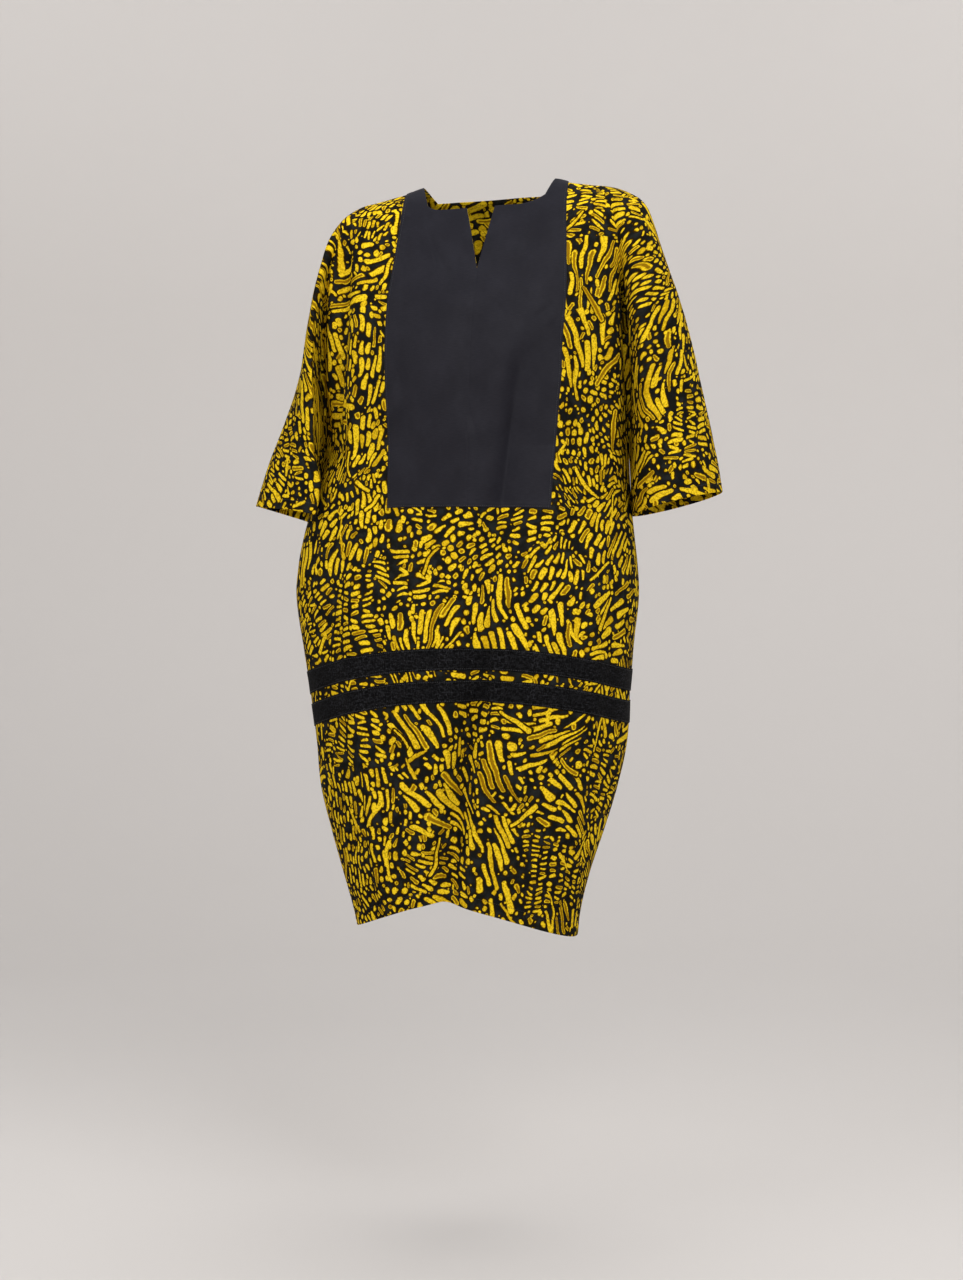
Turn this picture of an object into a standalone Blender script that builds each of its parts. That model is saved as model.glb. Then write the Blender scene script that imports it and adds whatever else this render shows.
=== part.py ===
"""Adire shift dress, held open as it is when worn: two panels, a bib and two hip bands.

Metres. X runs to the right of a viewer who faces the dress, Y to its back and Z up. The origin
lies between the two neck points, where the wearer's shoulders hold the dress up. Each panel is
one sheet with its half of both sleeves, so three slits are left open in its grid: one below each
underarm point, between sleeve and side, and one at the centre front for the neck slit.
"""

import math
from bisect import bisect_right
from collections import namedtuple

import bmesh
import bpy
from mathutils import Vector

# Cloth and seams
PRINT_WALL = 0.0014
BIB_WALL = 0.0013
BAND_WALL = 0.0015
SEAM_GAP = 0.0003
LAID_GAP = 0.0003

# Heights that the pieces share, before the pose tilts them
SHOULDER_TIP_Z = -0.034
UNDERARM_Z = -0.385
UNDERARM_Y = 0.012
OVERARM_LEVEL_Z = -0.376
SLEEVE_CLEARANCE = 0.0075
CLEARANCE_DROP = 0.4
HEM_Z = -1.0614

# Neck opening, in shares of the bib's width, and its slit
NECK_FROM = 0.1
NECK_TO = 0.9
NECK_POINT_X = 0.0925
NECK_SQUARE = 4.0
NECK_TURN_IN = 0.0125
NECK_TURN_FADE = 3.0
SLIT_FALL = 0.362
SLIT_HALF_WIDTH = 0.0195
SLIT_LEAN = -0.0035

# Hip bands
BAND_HEIGHT = 0.0305
BAND_SPACE = 0.0145
UPPER_BAND_TOP = -0.6935
UPPER_BAND_FOOT = UPPER_BAND_TOP - BAND_HEIGHT
LOWER_BAND_TOP = UPPER_BAND_FOOT - BAND_SPACE
LOWER_BAND_FOOT = LOWER_BAND_TOP - BAND_HEIGHT
BIB_FOOT = -0.473

# Rows of the grid. A fall of 0 is the shoulder seam or neck edge and 1 is the underarm level.
FRONT_NECK_FALL = 0.108
BACK_NECK_FALL = 0.036
FALLS = (0.0, 0.010, BACK_NECK_FALL, 0.072, FRONT_NECK_FALL, 0.160, 0.222, 0.290, SLIT_FALL)
FALLS += (0.430, 0.500, 0.575, 0.650, 0.725, 0.800, 0.865, 0.930, 1.0)
SIDE_HEIGHTS = (UNDERARM_Z, -0.405, -0.427, -0.450, BIB_FOOT, -0.500, -0.530, -0.560, -0.590)
SIDE_HEIGHTS += (-0.620, -0.650, -0.672, UPPER_BAND_TOP, UPPER_BAND_FOOT, LOWER_BAND_TOP)
SIDE_HEIGHTS += (LOWER_BAND_FOOT, -0.795, -0.825, -0.855, -0.885, -0.915, -0.945, -0.975)
SIDE_HEIGHTS += (-1.005, -1.035, HEM_Z)
CUFF_STEPS = 5
SLEEVE_STEPS = 7

UNDERARM_ROW = len(FALLS) - 1
SLIT_ROW = FALLS.index(SLIT_FALL)

# The seam along the top of the shoulder, as seen from the front
Shoulder = namedtuple("Shoulder", "x z")
SHOULDER = (
    Shoulder(0.000, 0.0060),
    Shoulder(0.050, 0.0045),
    Shoulder(0.094, 0.0000),
    Shoulder(0.120, -0.0070),
    Shoulder(0.144, -0.0120),
    Shoulder(0.178, -0.0190),
    Shoulder(0.212, SHOULDER_TIP_Z),
)

# The seam along the outside of each arm: how far out it lies, and its depth
Overarm = namedtuple("Overarm", "z left right y")
OVERARM = (
    Overarm(-0.456, 0.3415, 0.3315, 0.015),
    Overarm(-0.385, 0.3190, 0.3180, 0.014),
    Overarm(-0.307, 0.2900, 0.3015, 0.013),
    Overarm(-0.240, 0.2695, 0.2860, 0.012),
    Overarm(-0.174, 0.2545, 0.2660, 0.010),
    Overarm(-0.110, 0.2390, 0.2450, 0.009),
    Overarm(-0.067, 0.2255, 0.2300, 0.008),
    Overarm(-0.048, 0.2180, 0.2215, 0.008),
    Overarm(SHOULDER_TIP_Z, 0.2080, 0.2100, 0.008),
)

# Cuffs, which dip toward the body and in front
Cuff = namedtuple("Cuff", "outer_z inner_z front_drop")
CUFF_L = Cuff(-0.4560, -0.4810, 0.0060)
CUFF_R = Cuff(-0.4410, -0.4720, 0.0030)

# Across the yoke: the valleys between arm and body, the bib's edges, and how far the cloth turns in
Yoke = namedtuple("Yoke", "fall valley_l bib_l bib_r valley_r valley_front valley_back tuck")
YOKE = (
    Yoke(0.00, -0.1650, -0.1166, 0.1130, 0.1500, 0.040, 0.042, 50.0),
    Yoke(0.13, -0.2000, -0.1155, 0.1148, 0.1770, 0.060, 0.062, 45.0),
    Yoke(0.29, -0.2240, -0.1200, 0.1165, 0.1885, 0.055, 0.066, 38.0),
    Yoke(0.45, -0.2340, -0.1265, 0.1172, 0.1925, 0.040, 0.055, 33.0),
    Yoke(0.60, -0.2370, -0.1284, 0.1130, 0.1960, 0.024, 0.043, 29.0),
    Yoke(0.72, -0.2380, -0.1278, 0.1100, 0.1985, 0.011, 0.032, 26.0),
    Yoke(0.86, -0.2390, -0.1256, 0.1050, 0.1990, -0.002, 0.021, 22.0),
    Yoke(1.00, -0.2400, -0.1238, 0.1010, 0.1970, -0.012, 0.012, 18.0),
)

# Arms: a reach of 0 is the shoulder seam, 1 the underarm level and 2 the cuff. The depths are
# those of the arm's front and back, `wrap` is how far round its half section goes.
Arm = namedtuple("Arm", "reach front_l front_r back_l back_r wrap lean_l lean_r")
ARM = (
    Arm(0.00, 0.045, 0.048, 0.045, 0.048, 115.0, 0.000, 0.000),
    Arm(0.13, 0.061, 0.064, 0.061, 0.064, 120.0, 0.000, 0.000),
    Arm(0.45, 0.077, 0.084, 0.080, 0.086, 132.0, 0.004, 0.010),
    Arm(0.72, 0.080, 0.086, 0.089, 0.090, 142.0, 0.018, 0.016),
    Arm(1.00, 0.083, 0.084, 0.095, 0.092, 150.0, 0.036, 0.016),
    Arm(1.25, 0.085, 0.081, 0.098, 0.092, 168.0, 0.047, 0.014),
    Arm(1.50, 0.086, 0.079, 0.099, 0.091, 180.0, 0.054, 0.012),
    Arm(2.00, 0.086, 0.075, 0.100, 0.088, 180.0, 0.062, 0.010),
)

# Centre depths, in front of and behind the plane Y = 0
Depth = namedtuple("Depth", "z front back")
DEPTH = (
    Depth(HEM_Z, 0.126, 0.118),
    Depth(-1.000, 0.132, 0.124),
    Depth(-0.900, 0.143, 0.134),
    Depth(-0.800, 0.153, 0.144),
    Depth(-0.710, 0.160, 0.150),
    Depth(-0.630, 0.159, 0.147),
    Depth(-0.550, 0.153, 0.133),
    Depth(-0.470, 0.150, 0.117),
    Depth(-0.400, 0.153, 0.112),
    Depth(-0.320, 0.158, 0.117),
    Depth(-0.250, 0.156, 0.123),
    Depth(-0.190, 0.143, 0.123),
    Depth(-0.139, 0.122, 0.116),
    Depth(-0.090, 0.098, 0.102),
    Depth(-0.045, 0.069, 0.078),
    Depth(0.000, 0.046, 0.050),
)

# Below the underarm: side seams, the columns that run on under the bib's edges, and squareness
Skirt = namedtuple("Skirt", "z left bib_l bib_r right side_y tuck square")
SKIRT = (
    Skirt(HEM_Z, -0.1875, -0.1050, 0.0420, 0.1245, -0.008, 0.0, 2.2),
    Skirt(-1.025, -0.1955, -0.1090, 0.0450, 0.1290, -0.008, 0.0, 2.2),
    Skirt(-0.975, -0.2085, -0.1150, 0.0520, 0.1425, -0.008, 0.0, 2.2),
    Skirt(-0.920, -0.2235, -0.1210, 0.0600, 0.1615, -0.008, 0.0, 2.2),
    Skirt(-0.857, -0.2385, -0.1260, 0.0700, 0.1810, -0.008, 0.0, 2.2),
    Skirt(-0.790, -0.2450, -0.1290, 0.0780, 0.1950, -0.007, 0.0, 2.2),
    Skirt(-0.720, -0.2550, -0.1310, 0.0830, 0.1995, -0.005, 0.0, 2.2),
    Skirt(-0.650, -0.2672, -0.1320, 0.0860, 0.2045, -0.002, 0.0, 2.2),
    Skirt(-0.590, -0.2768, -0.1310, 0.0890, 0.2110, 0.002, 0.0, 2.15),
    Skirt(-0.540, -0.2742, -0.1280, 0.0920, 0.2085, 0.008, 0.0, 2.1),
    Skirt(-0.470, -0.2600, -0.1238, 0.0960, 0.1995, 0.016, 0.0, 2.0),
    Skirt(-0.427, -0.2480, -0.1238, 0.0985, 0.1975, 0.017, 2.0, 2.0),
    Skirt(-0.405, -0.2430, -0.1238, 0.1000, 0.1970, 0.015, 7.0, 2.0),
    Skirt(UNDERARM_Z, -0.2400, -0.1238, 0.1010, 0.1970, UNDERARM_Y, 18.0, 2.0),
)

# How the dress hangs: sideways tilt, and how far the middle of a level rises above its sides
Hang = namedtuple("Hang", "z roll rise_front rise_back power apex")
HANG = (
    Hang(HEM_Z, -0.035, 0.0500, 0.0350, 1.35, -0.022),
    Hang(-0.980, -0.020, 0.0470, 0.0320, 1.55, -0.018),
    Hang(-0.880, 0.000, 0.0420, 0.0260, 1.85, -0.010),
    Hang(-0.760, 0.016, 0.0350, 0.0200, 2.30, 0.000),
    Hang(-0.690, 0.012, 0.0320, 0.0170, 2.40, 0.000),
    Hang(-0.600, 0.004, 0.0200, 0.0120, 2.40, 0.000),
    Hang(-0.500, -0.008, 0.0060, 0.0050, 2.40, 0.000),
    Hang(-0.450, 0.000, 0.0020, 0.0020, 2.40, 0.000),
    Hang(UNDERARM_Z, 0.012, 0.0000, 0.0000, 2.40, 0.000),
    Hang(-0.200, 0.034, 0.0000, 0.0000, 2.40, 0.000),
    Hang(0.000, 0.048, 0.0000, 0.0000, 2.40, 0.000),
)

# The largest folds. Each runs from its top point to its foot, and a negative height is a valley.
Fold = namedtuple("Fold", "top_x top_z mid_x mid_z foot_x foot_z width height")
FRONT_FOLDS = (
    Fold(-0.194, -0.060, -0.198, -0.220, -0.214, -0.365, 0.009, -0.013),
    Fold(-0.215, -0.070, -0.220, -0.220, -0.228, -0.350, 0.009, 0.008),
    Fold(-0.168, -0.080, -0.172, -0.260, -0.184, -0.470, 0.013, 0.007),
    Fold(0.172, -0.080, 0.176, -0.240, 0.178, -0.440, 0.011, 0.007),
    Fold(0.236, -0.150, 0.246, -0.260, 0.252, -0.420, 0.014, -0.006),
    Fold(-0.270, -0.200, -0.284, -0.330, -0.296, -0.500, 0.012, -0.004),
    Fold(-0.006, -0.180, -0.010, -0.260, 0.000, -0.380, 0.018, -0.005),
    Fold(0.067, -0.230, 0.052, -0.360, 0.030, -0.500, 0.018, -0.012),
    Fold(0.034, -0.440, 0.008, -0.590, -0.002, -0.790, 0.024, -0.013),
    Fold(-0.002, -0.700, -0.030, -0.880, -0.053, -1.090, 0.022, -0.016),
    Fold(-0.168, -0.450, -0.170, -0.700, -0.132, -1.060, 0.018, 0.010),
    Fold(0.152, -0.470, 0.150, -0.700, 0.098, -1.060, 0.018, 0.009),
    Fold(0.118, -0.240, 0.106, -0.380, 0.100, -0.540, 0.016, 0.006),
)
BACK_FOLDS = (
    Fold(-0.186, -0.090, -0.190, -0.220, -0.208, -0.360, 0.014, -0.014),
    Fold(0.150, -0.100, 0.158, -0.230, 0.172, -0.360, 0.014, -0.012),
    Fold(-0.100, -0.160, -0.104, -0.330, -0.098, -0.580, 0.022, 0.010),
    Fold(0.066, -0.160, 0.070, -0.330, 0.050, -0.580, 0.022, 0.009),
    Fold(-0.006, -0.220, -0.016, -0.400, -0.024, -0.620, 0.028, -0.012),
    Fold(-0.030, -0.700, -0.036, -0.880, -0.034, -1.080, 0.026, -0.012),
    Fold(-0.158, -0.560, -0.150, -0.820, -0.120, -1.070, 0.020, 0.009),
    Fold(0.104, -0.580, 0.092, -0.820, 0.060, -1.070, 0.020, 0.008),
)
FOLD_FADE = 0.22
SEAM_FADE_STEPS = 2

# What differs between the two panels. `sign` is the side of the plane Y = 0 that a panel lies on.
Panel = namedtuple(
    "Panel", "name sign round_over neck_drop neck_fall side_steps bib_steps slit folds"
)
FRONT = Panel("front", -1, 0.055, 0.0530, FRONT_NECK_FALL, 9, 12, True, FRONT_FOLDS)
BACK = Panel("back", 1, 0.050, 0.0190, BACK_NECK_FALL, 6, 10, False, BACK_FOLDS)

# Colour, roughness and metallic value of each material
Finish = namedtuple("Finish", "name colour roughness metallic")
PRINT = Finish("printed_cotton", (0.30, 0.205, 0.012), 0.82, 0.0)
PLAIN = Finish("black_cotton", (0.021, 0.021, 0.027), 0.72, 0.0)
TRIM = Finish("black_trimming", (0.010, 0.010, 0.011), 0.90, 0.0)


class Track:
    """One named column of a table, read as a smooth curve over the table's first column."""

    def __init__(self, table, column):
        rows = sorted(table, key=lambda row: row[0])
        self.stations = [row[0] for row in rows]
        self.values = [getattr(row, column) for row in rows]
        self.slopes = [self.slope(index) for index in range(len(rows))]

    def slope(self, index):
        before = max(index - 1, 0)
        after = min(index + 1, len(self.stations) - 1)
        rise = self.values[after] - self.values[before]
        return rise / (self.stations[after] - self.stations[before])

    def __call__(self, station):
        station = min(max(station, self.stations[0]), self.stations[-1])
        index = min(bisect_right(self.stations, station), len(self.stations) - 1) - 1
        span = self.stations[index + 1] - self.stations[index]
        t = (station - self.stations[index]) / span
        start = self.values[index] * (2 * t**3 - 3 * t**2 + 1)
        end = self.values[index + 1] * (3 * t**2 - 2 * t**3)
        leaving = self.slopes[index] * span * (t**3 - 2 * t**2 + t)
        arriving = self.slopes[index + 1] * span * (t**3 - t**2)
        return start + end + leaving + arriving


def tracks(table):
    """All columns of a table but the first, as one namedtuple of curves."""
    columns = table[0]._fields[1:]
    return namedtuple("Tracks", columns)(*(Track(table, column) for column in columns))


shoulder = tracks(SHOULDER)
overarm = tracks(OVERARM)
yoke = tracks(YOKE)
arm = tracks(ARM)
depth = tracks(DEPTH)
skirt = tracks(SKIRT)
hang = tracks(HANG)


def mix(a, b, share):
    return a + (b - a) * share


def bow(share, power):
    """1 in the middle, falling to 0 at a share of -1 and 1, squarer for a higher power."""
    return max(0.0, 1.0 - abs(share) ** power) ** (1.0 / power)


def rounded(drop, height):
    """How far cloth that turns over an edge has reached its full depth, `drop` below the edge."""
    if drop >= height:
        return 1.0
    return math.sqrt(max(0.0, 1.0 - (1.0 - drop / height) ** 2))


def bib_share(panel, step):
    """Share of the bib's width at a column: neck points at NECK_FROM and NECK_TO, even between."""
    if step == 0:
        return 0.0
    if step == panel.bib_steps:
        return 1.0
    return mix(NECK_FROM, NECK_TO, (step - 1) / (panel.bib_steps - 2))


def body_x(panel, step, left, bib_l, bib_r, right, tuck):
    """X of a body column, and its share (-1 to 1) of the way from the middle to the sides."""
    middle = (left + right) / 2
    half = (right - left) / 2
    last = 2 * panel.side_steps + panel.bib_steps
    edge = math.cos(math.radians(tuck))
    if panel.side_steps <= step <= last - panel.side_steps:
        x = mix(bib_l, bib_r, bib_share(panel, step - panel.side_steps))
        return x, (x - middle) / half
    side = -1 if step < panel.side_steps else 1
    inner = bib_l if side < 0 else bib_r
    from_side = step if side < 0 else last - step
    inner_angle = math.acos(abs(inner - middle) / half * edge)
    angle = mix(math.radians(tuck), inner_angle, from_side / panel.side_steps)
    share = side * math.cos(angle) / edge
    return middle + half * share, share


def section(share, tuck, square):
    """Fullness of a body section: 1 in the middle and 0 at the sides, turned in by `tuck`."""
    edge = math.cos(math.radians(tuck))
    rim = bow(edge, square)
    return (bow(share * edge, square) - rim) / (1.0 - rim)


def fold_lift(panel, x, z):
    """Height of the panel's folds at a place, out from the cloth."""
    lift = 0.0
    for fold in panel.folds:
        share = (fold.top_z - z) / (fold.top_z - fold.foot_z)
        if not 0.0 < share < 1.0:
            continue
        bend = (fold.top_z - fold.mid_z) / (fold.top_z - fold.foot_z)
        if share < bend:
            centre = mix(fold.top_x, fold.mid_x, share / bend)
        else:
            centre = mix(fold.mid_x, fold.foot_x, (share - bend) / (1.0 - bend))
        ends = min(share, 1.0 - share) / FOLD_FADE
        fade = 1.0 if ends >= 1.0 else ends * ends * (3.0 - 2.0 * ends)
        lift += fold.height * fade * math.exp(-(((x - centre) / fold.width) ** 2))
    return lift


def posed(x, y, z):
    """A place on the dress with the wearer's sideways tilt."""
    return Vector((x, y, z + x * hang.roll(z)))


def yoke_point(panel, fall, step, slit_side):
    """A body column above the underarm level."""
    last = 2 * panel.side_steps + panel.bib_steps
    top_x, _ = body_x(panel, step, *yoke_guides(0.0))
    x, share = body_x(panel, step, *yoke_guides(fall))
    seam_z = shoulder.z(abs(top_x))
    z = mix(seam_z, UNDERARM_Z, fall)
    if panel.side_steps < step < last - panel.side_steps:
        across = bib_share(panel, step - panel.side_steps)
        neck = (2 * across - NECK_FROM - NECK_TO) / (NECK_TO - NECK_FROM)
        x -= neck * neck_turn(panel, fall)
        below_neck = (fall - panel.neck_fall) / (1.0 - panel.neck_fall)
        z = mix(neck_edge_z(panel, neck), UNDERARM_Z, below_neck)
        if panel.slit:
            x += slit_shift(slit_side or math.copysign(1.0, neck), fall) * (1.0 - abs(neck))
    valley = valley_depth(panel, fall)
    middle = centre_depth(panel, z)
    full = mix(valley, middle, section(share, yoke.tuck(fall), skirt.square(UNDERARM_Z)))
    seam_y = overarm.y(z)
    y = mix(seam_y, panel.sign * full, rounded(seam_z - z, panel.round_over))
    return posed(x, y, z)


def valley_depth(panel, fall):
    return yoke.valley_front(fall) if panel.sign < 0 else yoke.valley_back(fall)


def yoke_guides(fall):
    """Left valley, bib edges, right valley and tuck at a fall."""
    valleys_and_bib = (yoke.valley_l(fall), yoke.bib_l(fall), yoke.bib_r(fall), yoke.valley_r(fall))
    return (*valleys_and_bib, yoke.tuck(fall))


def neck_edge_z(panel, neck):
    """Height of the neck edge, `neck` from -1 to 1 between its corners."""
    corner_z = mix(shoulder.z(NECK_POINT_X), UNDERARM_Z, panel.neck_fall)
    middle_z = shoulder.z(0.0) - panel.neck_drop
    return mix(corner_z, middle_z, 1.0 - abs(neck) ** NECK_SQUARE)


def neck_turn(panel, fall):
    """How far the neck corners lie inside the neck points, fading out below the neck edge."""
    if fall <= panel.neck_fall:
        return NECK_TURN_IN * fall / panel.neck_fall
    past = (fall - panel.neck_fall) / (NECK_TURN_FADE * panel.neck_fall)
    return NECK_TURN_IN * max(0.0, 1.0 - past)


def slit_shift(side, fall):
    """How far an edge of the neck slit lies from the centre column."""
    open_share = (SLIT_FALL - fall) / (SLIT_FALL - FRONT_NECK_FALL)
    return (SLIT_LEAN + side * SLIT_HALF_WIDTH) * max(0.0, open_share)


def centre_depth(panel, z):
    return depth.front(z) if panel.sign < 0 else depth.back(z)


def skirt_point(panel, side_z, step):
    """A body column below the underarm level."""
    left = skirt.left(side_z)
    right = skirt.right(side_z)
    tuck = max(0.0, skirt.tuck(side_z))
    x, share = body_x(panel, step, left, skirt.bib_l(side_z), skirt.bib_r(side_z), right, tuck)
    apex = (left + right) / 2 + hang.apex(side_z)
    reach = (x - apex) / ((right if x > apex else left) - apex)
    rise = hang.rise_front(side_z) if panel.sign < 0 else hang.rise_back(side_z)
    z = side_z + rise * (1.0 - min(1.0, abs(reach)) ** hang.power(side_z))
    side = panel.sign * skirt.side_y(side_z)
    full = mix(side, centre_depth(panel, z), section(share, tuck, skirt.square(side_z)))
    return posed(x, panel.sign * full, z)


def body_side(side, z):
    return skirt.left(z) if side < 0 else skirt.right(z)


def sleeve_point(panel, side, reach, step):
    """A sleeve column, from the overarm seam at step 0 to the valley or underarm seam."""
    share = step / SLEEVE_STEPS
    wrap = math.radians(arm.wrap(reach))
    out_at = overarm.left if side < 0 else overarm.right
    angle = share * wrap
    across = (1.0 - math.cos(angle)) / (1.0 - math.cos(wrap))
    fall = min(reach, 1.0)
    drop = max(reach - 1.0, 0.0)
    cuff = CUFF_L if side < 0 else CUFF_R
    seam_z = mix(SHOULDER_TIP_Z, OVERARM_LEVEL_Z, fall)
    seam_z = mix(seam_z, cuff.outer_z, drop)
    if reach <= 1.0:
        top_wrap = math.radians(arm.wrap(0.0))
        top_across = (1.0 - math.cos(share * top_wrap)) / (1.0 - math.cos(top_wrap))
        valley_top = yoke.valley_l(0.0) if side < 0 else yoke.valley_r(0.0)
        top_x = mix(side * out_at(SHOULDER_TIP_Z), valley_top, top_across)
        top_z = shoulder.z(abs(top_x))
        z = mix(top_z, mix(OVERARM_LEVEL_Z, UNDERARM_Z, across), fall)
        inner_x = yoke.valley_l(fall) if side < 0 else yoke.valley_r(fall)
        inner_y = panel.sign * valley_depth(panel, fall)
        turned = rounded(top_z - z, panel.round_over)
    else:
        inner_z = mix(UNDERARM_Z, cuff.inner_z, drop)
        z = mix(seam_z, inner_z, across)
        if panel.sign < 0:
            z -= cuff.front_drop * drop * math.sin(angle)
        inner_x = body_side(side, inner_z) + side * sleeve_clearance(drop)
        inner_y = skirt.side_y(inner_z)
        turned = 1.0
    x = mix(side * out_at(seam_z), inner_x, across)
    lean = arm.lean_l(reach) if side < 0 else arm.lean_r(reach)
    if panel.sign < 0:
        x -= side * lean * math.sin(share * math.pi) ** 2
    full_y = panel.sign * arm_depth(panel, side, reach)
    if angle <= math.pi / 2:
        y = mix(overarm.y(seam_z), full_y, math.sin(angle))
    else:
        y = mix(inner_y, full_y, (math.sin(angle) - math.sin(wrap)) / (1.0 - math.sin(wrap)))
    return posed(x, mix(overarm.y(z), y, turned), z)


def arm_depth(panel, side, reach):
    if panel.sign < 0:
        return arm.front_l(reach) if side < 0 else arm.front_r(reach)
    return arm.back_l(reach) if side < 0 else arm.back_r(reach)


def sleeve_clearance(drop):
    """Room between the underarm seam and the side seam, opening quickly below the underarm."""
    return SLEEVE_CLEARANCE * math.sqrt(min(1.0, drop / CLEARANCE_DROP))


class PanelGrid:
    """The sheet of one panel: its places by row, column and side of a slit, and its faces."""

    def __init__(self, panel):
        self.panel = panel
        self.body_steps = 2 * panel.side_steps + panel.bib_steps
        self.left_fork = SLEEVE_STEPS
        self.right_fork = SLEEVE_STEPS + self.body_steps
        self.last = self.right_fork + SLEEVE_STEPS
        self.centre = SLEEVE_STEPS + self.body_steps // 2
        self.seams = (0, self.left_fork, self.right_fork, self.last)

    def is_slit(self, row, column):
        if column in (self.left_fork, self.right_fork):
            return row > UNDERARM_ROW
        return self.panel.slit and column == self.centre and row < SLIT_ROW

    def is_neck(self, row, column):
        """Whether a face lies in the neck opening."""
        first = SLEEVE_STEPS + self.panel.side_steps + 1
        last = SLEEVE_STEPS + self.panel.side_steps + self.panel.bib_steps - 1
        return first <= column < last and FALLS[min(row, UNDERARM_ROW)] < self.panel.neck_fall

    def key(self, row, column, side):
        return (row, column, side if self.is_slit(row, column) else 0)

    def place(self, key):
        """World place of a grid point; `side` is -1 or 1 for the two edges of a slit."""
        row, column, side = key
        panel = self.panel
        below = row - UNDERARM_ROW
        on_left = column < self.left_fork or (column == self.left_fork and side < 0)
        on_right = column > self.right_fork or (column == self.right_fork and side > 0)
        if on_left or on_right:
            arm_side = -1 if on_left else 1
            step = column if on_left else self.last - column
            reach = FALLS[row] if below <= 0 else 1.0 + below / CUFF_STEPS
            point = sleeve_point(panel, arm_side, reach, step)
        elif below > 0:
            point = skirt_point(panel, SIDE_HEIGHTS[below], column - self.left_fork)
        else:
            point = yoke_point(panel, FALLS[row], column - self.left_fork, side)
        point.y += panel.sign * SEAM_GAP / 2
        return point

    def fold_height(self, key, place):
        """How far the folds move a grid point, fading out at the seams."""
        _, column, _ = key
        steps_off = min(abs(column - seam) for seam in self.seams)
        return fold_lift(self.panel, place.x, place.z) * min(1.0, steps_off / SEAM_FADE_STEPS)

    def rows_of(self, column):
        """Number of faces down a column of faces."""
        on_body = self.left_fork <= column < self.right_fork
        return UNDERARM_ROW + (len(SIDE_HEIGHTS) - 1 if on_body else CUFF_STEPS)

    def face(self, row, column):
        """The corners of one face, turned so that the face looks out of the dress."""
        corners = [
            self.key(row, column, 1),
            self.key(row + 1, column, 1),
            self.key(row + 1, column + 1, -1),
            self.key(row, column + 1, -1),
        ]
        return corners if self.panel.sign < 0 else corners[::-1]

    def faces(self):
        return [
            self.face(row, column)
            for column in range(self.last)
            for row in range(self.rows_of(column))
            if not self.is_neck(row, column)
        ]


def sheet_bmesh(places, faces):
    """The faces, split into triangles the same way on every layer, and the corner at each key."""
    keys = sorted({key for face in faces for key in face})
    bm = bmesh.new()
    corners = {key: bm.verts.new(places[key]) for key in keys}
    for face in faces:
        bm.faces.new([corners[key] for key in face])
    bmesh.ops.triangulate(bm, faces=bm.faces[:], quad_method="FIXED")
    bm.normal_update()
    return bm, corners


def sheet_normals(places, faces):
    bm, corners = sheet_bmesh(places, faces)
    normals = {key: corner.normal.copy() for key, corner in corners.items()}
    bm.free()
    return normals


def sheet_mesh(name, places, faces):
    bm, _ = sheet_bmesh(places, faces)
    mesh = bpy.data.meshes.new(name)
    bm.to_mesh(mesh)
    bm.free()
    mesh.shade_smooth()
    return mesh


def add_piece(collection, mesh, wall, finish):
    """One sewn piece: the sheet thickened outward into a closed wall."""
    piece = bpy.data.objects.new(mesh.name, mesh)
    collection.objects.link(piece)
    solidify = piece.modifiers.new("wall", "SOLIDIFY")
    solidify.thickness = wall
    solidify.offset = 1.0
    solidify.use_even_offset = False
    solidify.use_rim = True
    mesh.materials.append(material(finish))
    return piece


def material(finish):
    known = bpy.data.materials.get(finish.name)
    if known:
        return known
    made = bpy.data.materials.new(finish.name)
    made.use_nodes = True
    shader = made.node_tree.nodes["Principled BSDF"]
    shader.inputs["Base Color"].default_value = (*finish.colour, 1.0)
    shader.inputs["Roughness"].default_value = finish.roughness
    shader.inputs["Metallic"].default_value = finish.metallic
    return made


def laid_sheet(name, places, normals, faces, lift):
    """A sheet over part of a panel, made from the panel's own points moved out."""
    lifted = {key: places[key] + normals[key] * lift for face in faces for key in face}
    return sheet_mesh(name, lifted, faces)


def body_faces(grid, first_row, last_row, first_step, last_step):
    """Faces of a panel between two rows and two body columns."""
    return [
        grid.face(row, SLEEVE_STEPS + step)
        for step in range(first_step, last_step)
        for row in range(first_row, last_row)
        if not grid.is_neck(row, SLEEVE_STEPS + step)
    ]


def band_rows(top_z, foot_z):
    return UNDERARM_ROW + SIDE_HEIGHTS.index(top_z), UNDERARM_ROW + SIDE_HEIGHTS.index(foot_z)


def build_panel(collection, panel):
    """One printed panel and the hip bands sewn to it; the front also carries the bib."""
    grid = PanelGrid(panel)
    faces = grid.faces()
    smooth = {key: grid.place(key) for face in faces for key in face}
    normals = sheet_normals(smooth, faces)
    places = {
        key: place + normals[key] * grid.fold_height(key, place) for key, place in smooth.items()
    }
    add_piece(collection, sheet_mesh(panel.name, places, faces), PRINT_WALL, PRINT)
    normals = sheet_normals(places, faces)
    lift = PRINT_WALL + LAID_GAP
    bands = (("upper", UPPER_BAND_TOP, UPPER_BAND_FOOT), ("lower", LOWER_BAND_TOP, LOWER_BAND_FOOT))
    for level, top_z, foot_z in bands:
        strip = body_faces(grid, *band_rows(top_z, foot_z), 0, grid.body_steps)
        band = laid_sheet(f"{level}_band_{panel.name}", places, normals, strip, lift)
        add_piece(collection, band, BAND_WALL, TRIM)
    if panel.slit:
        foot_row = UNDERARM_ROW + SIDE_HEIGHTS.index(BIB_FOOT)
        last_step = panel.side_steps + panel.bib_steps
        cover = body_faces(grid, 0, foot_row, panel.side_steps, last_step)
        bib = laid_sheet("bib", places, normals, cover, lift)
        add_piece(collection, bib, BIB_WALL, PLAIN)


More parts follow.
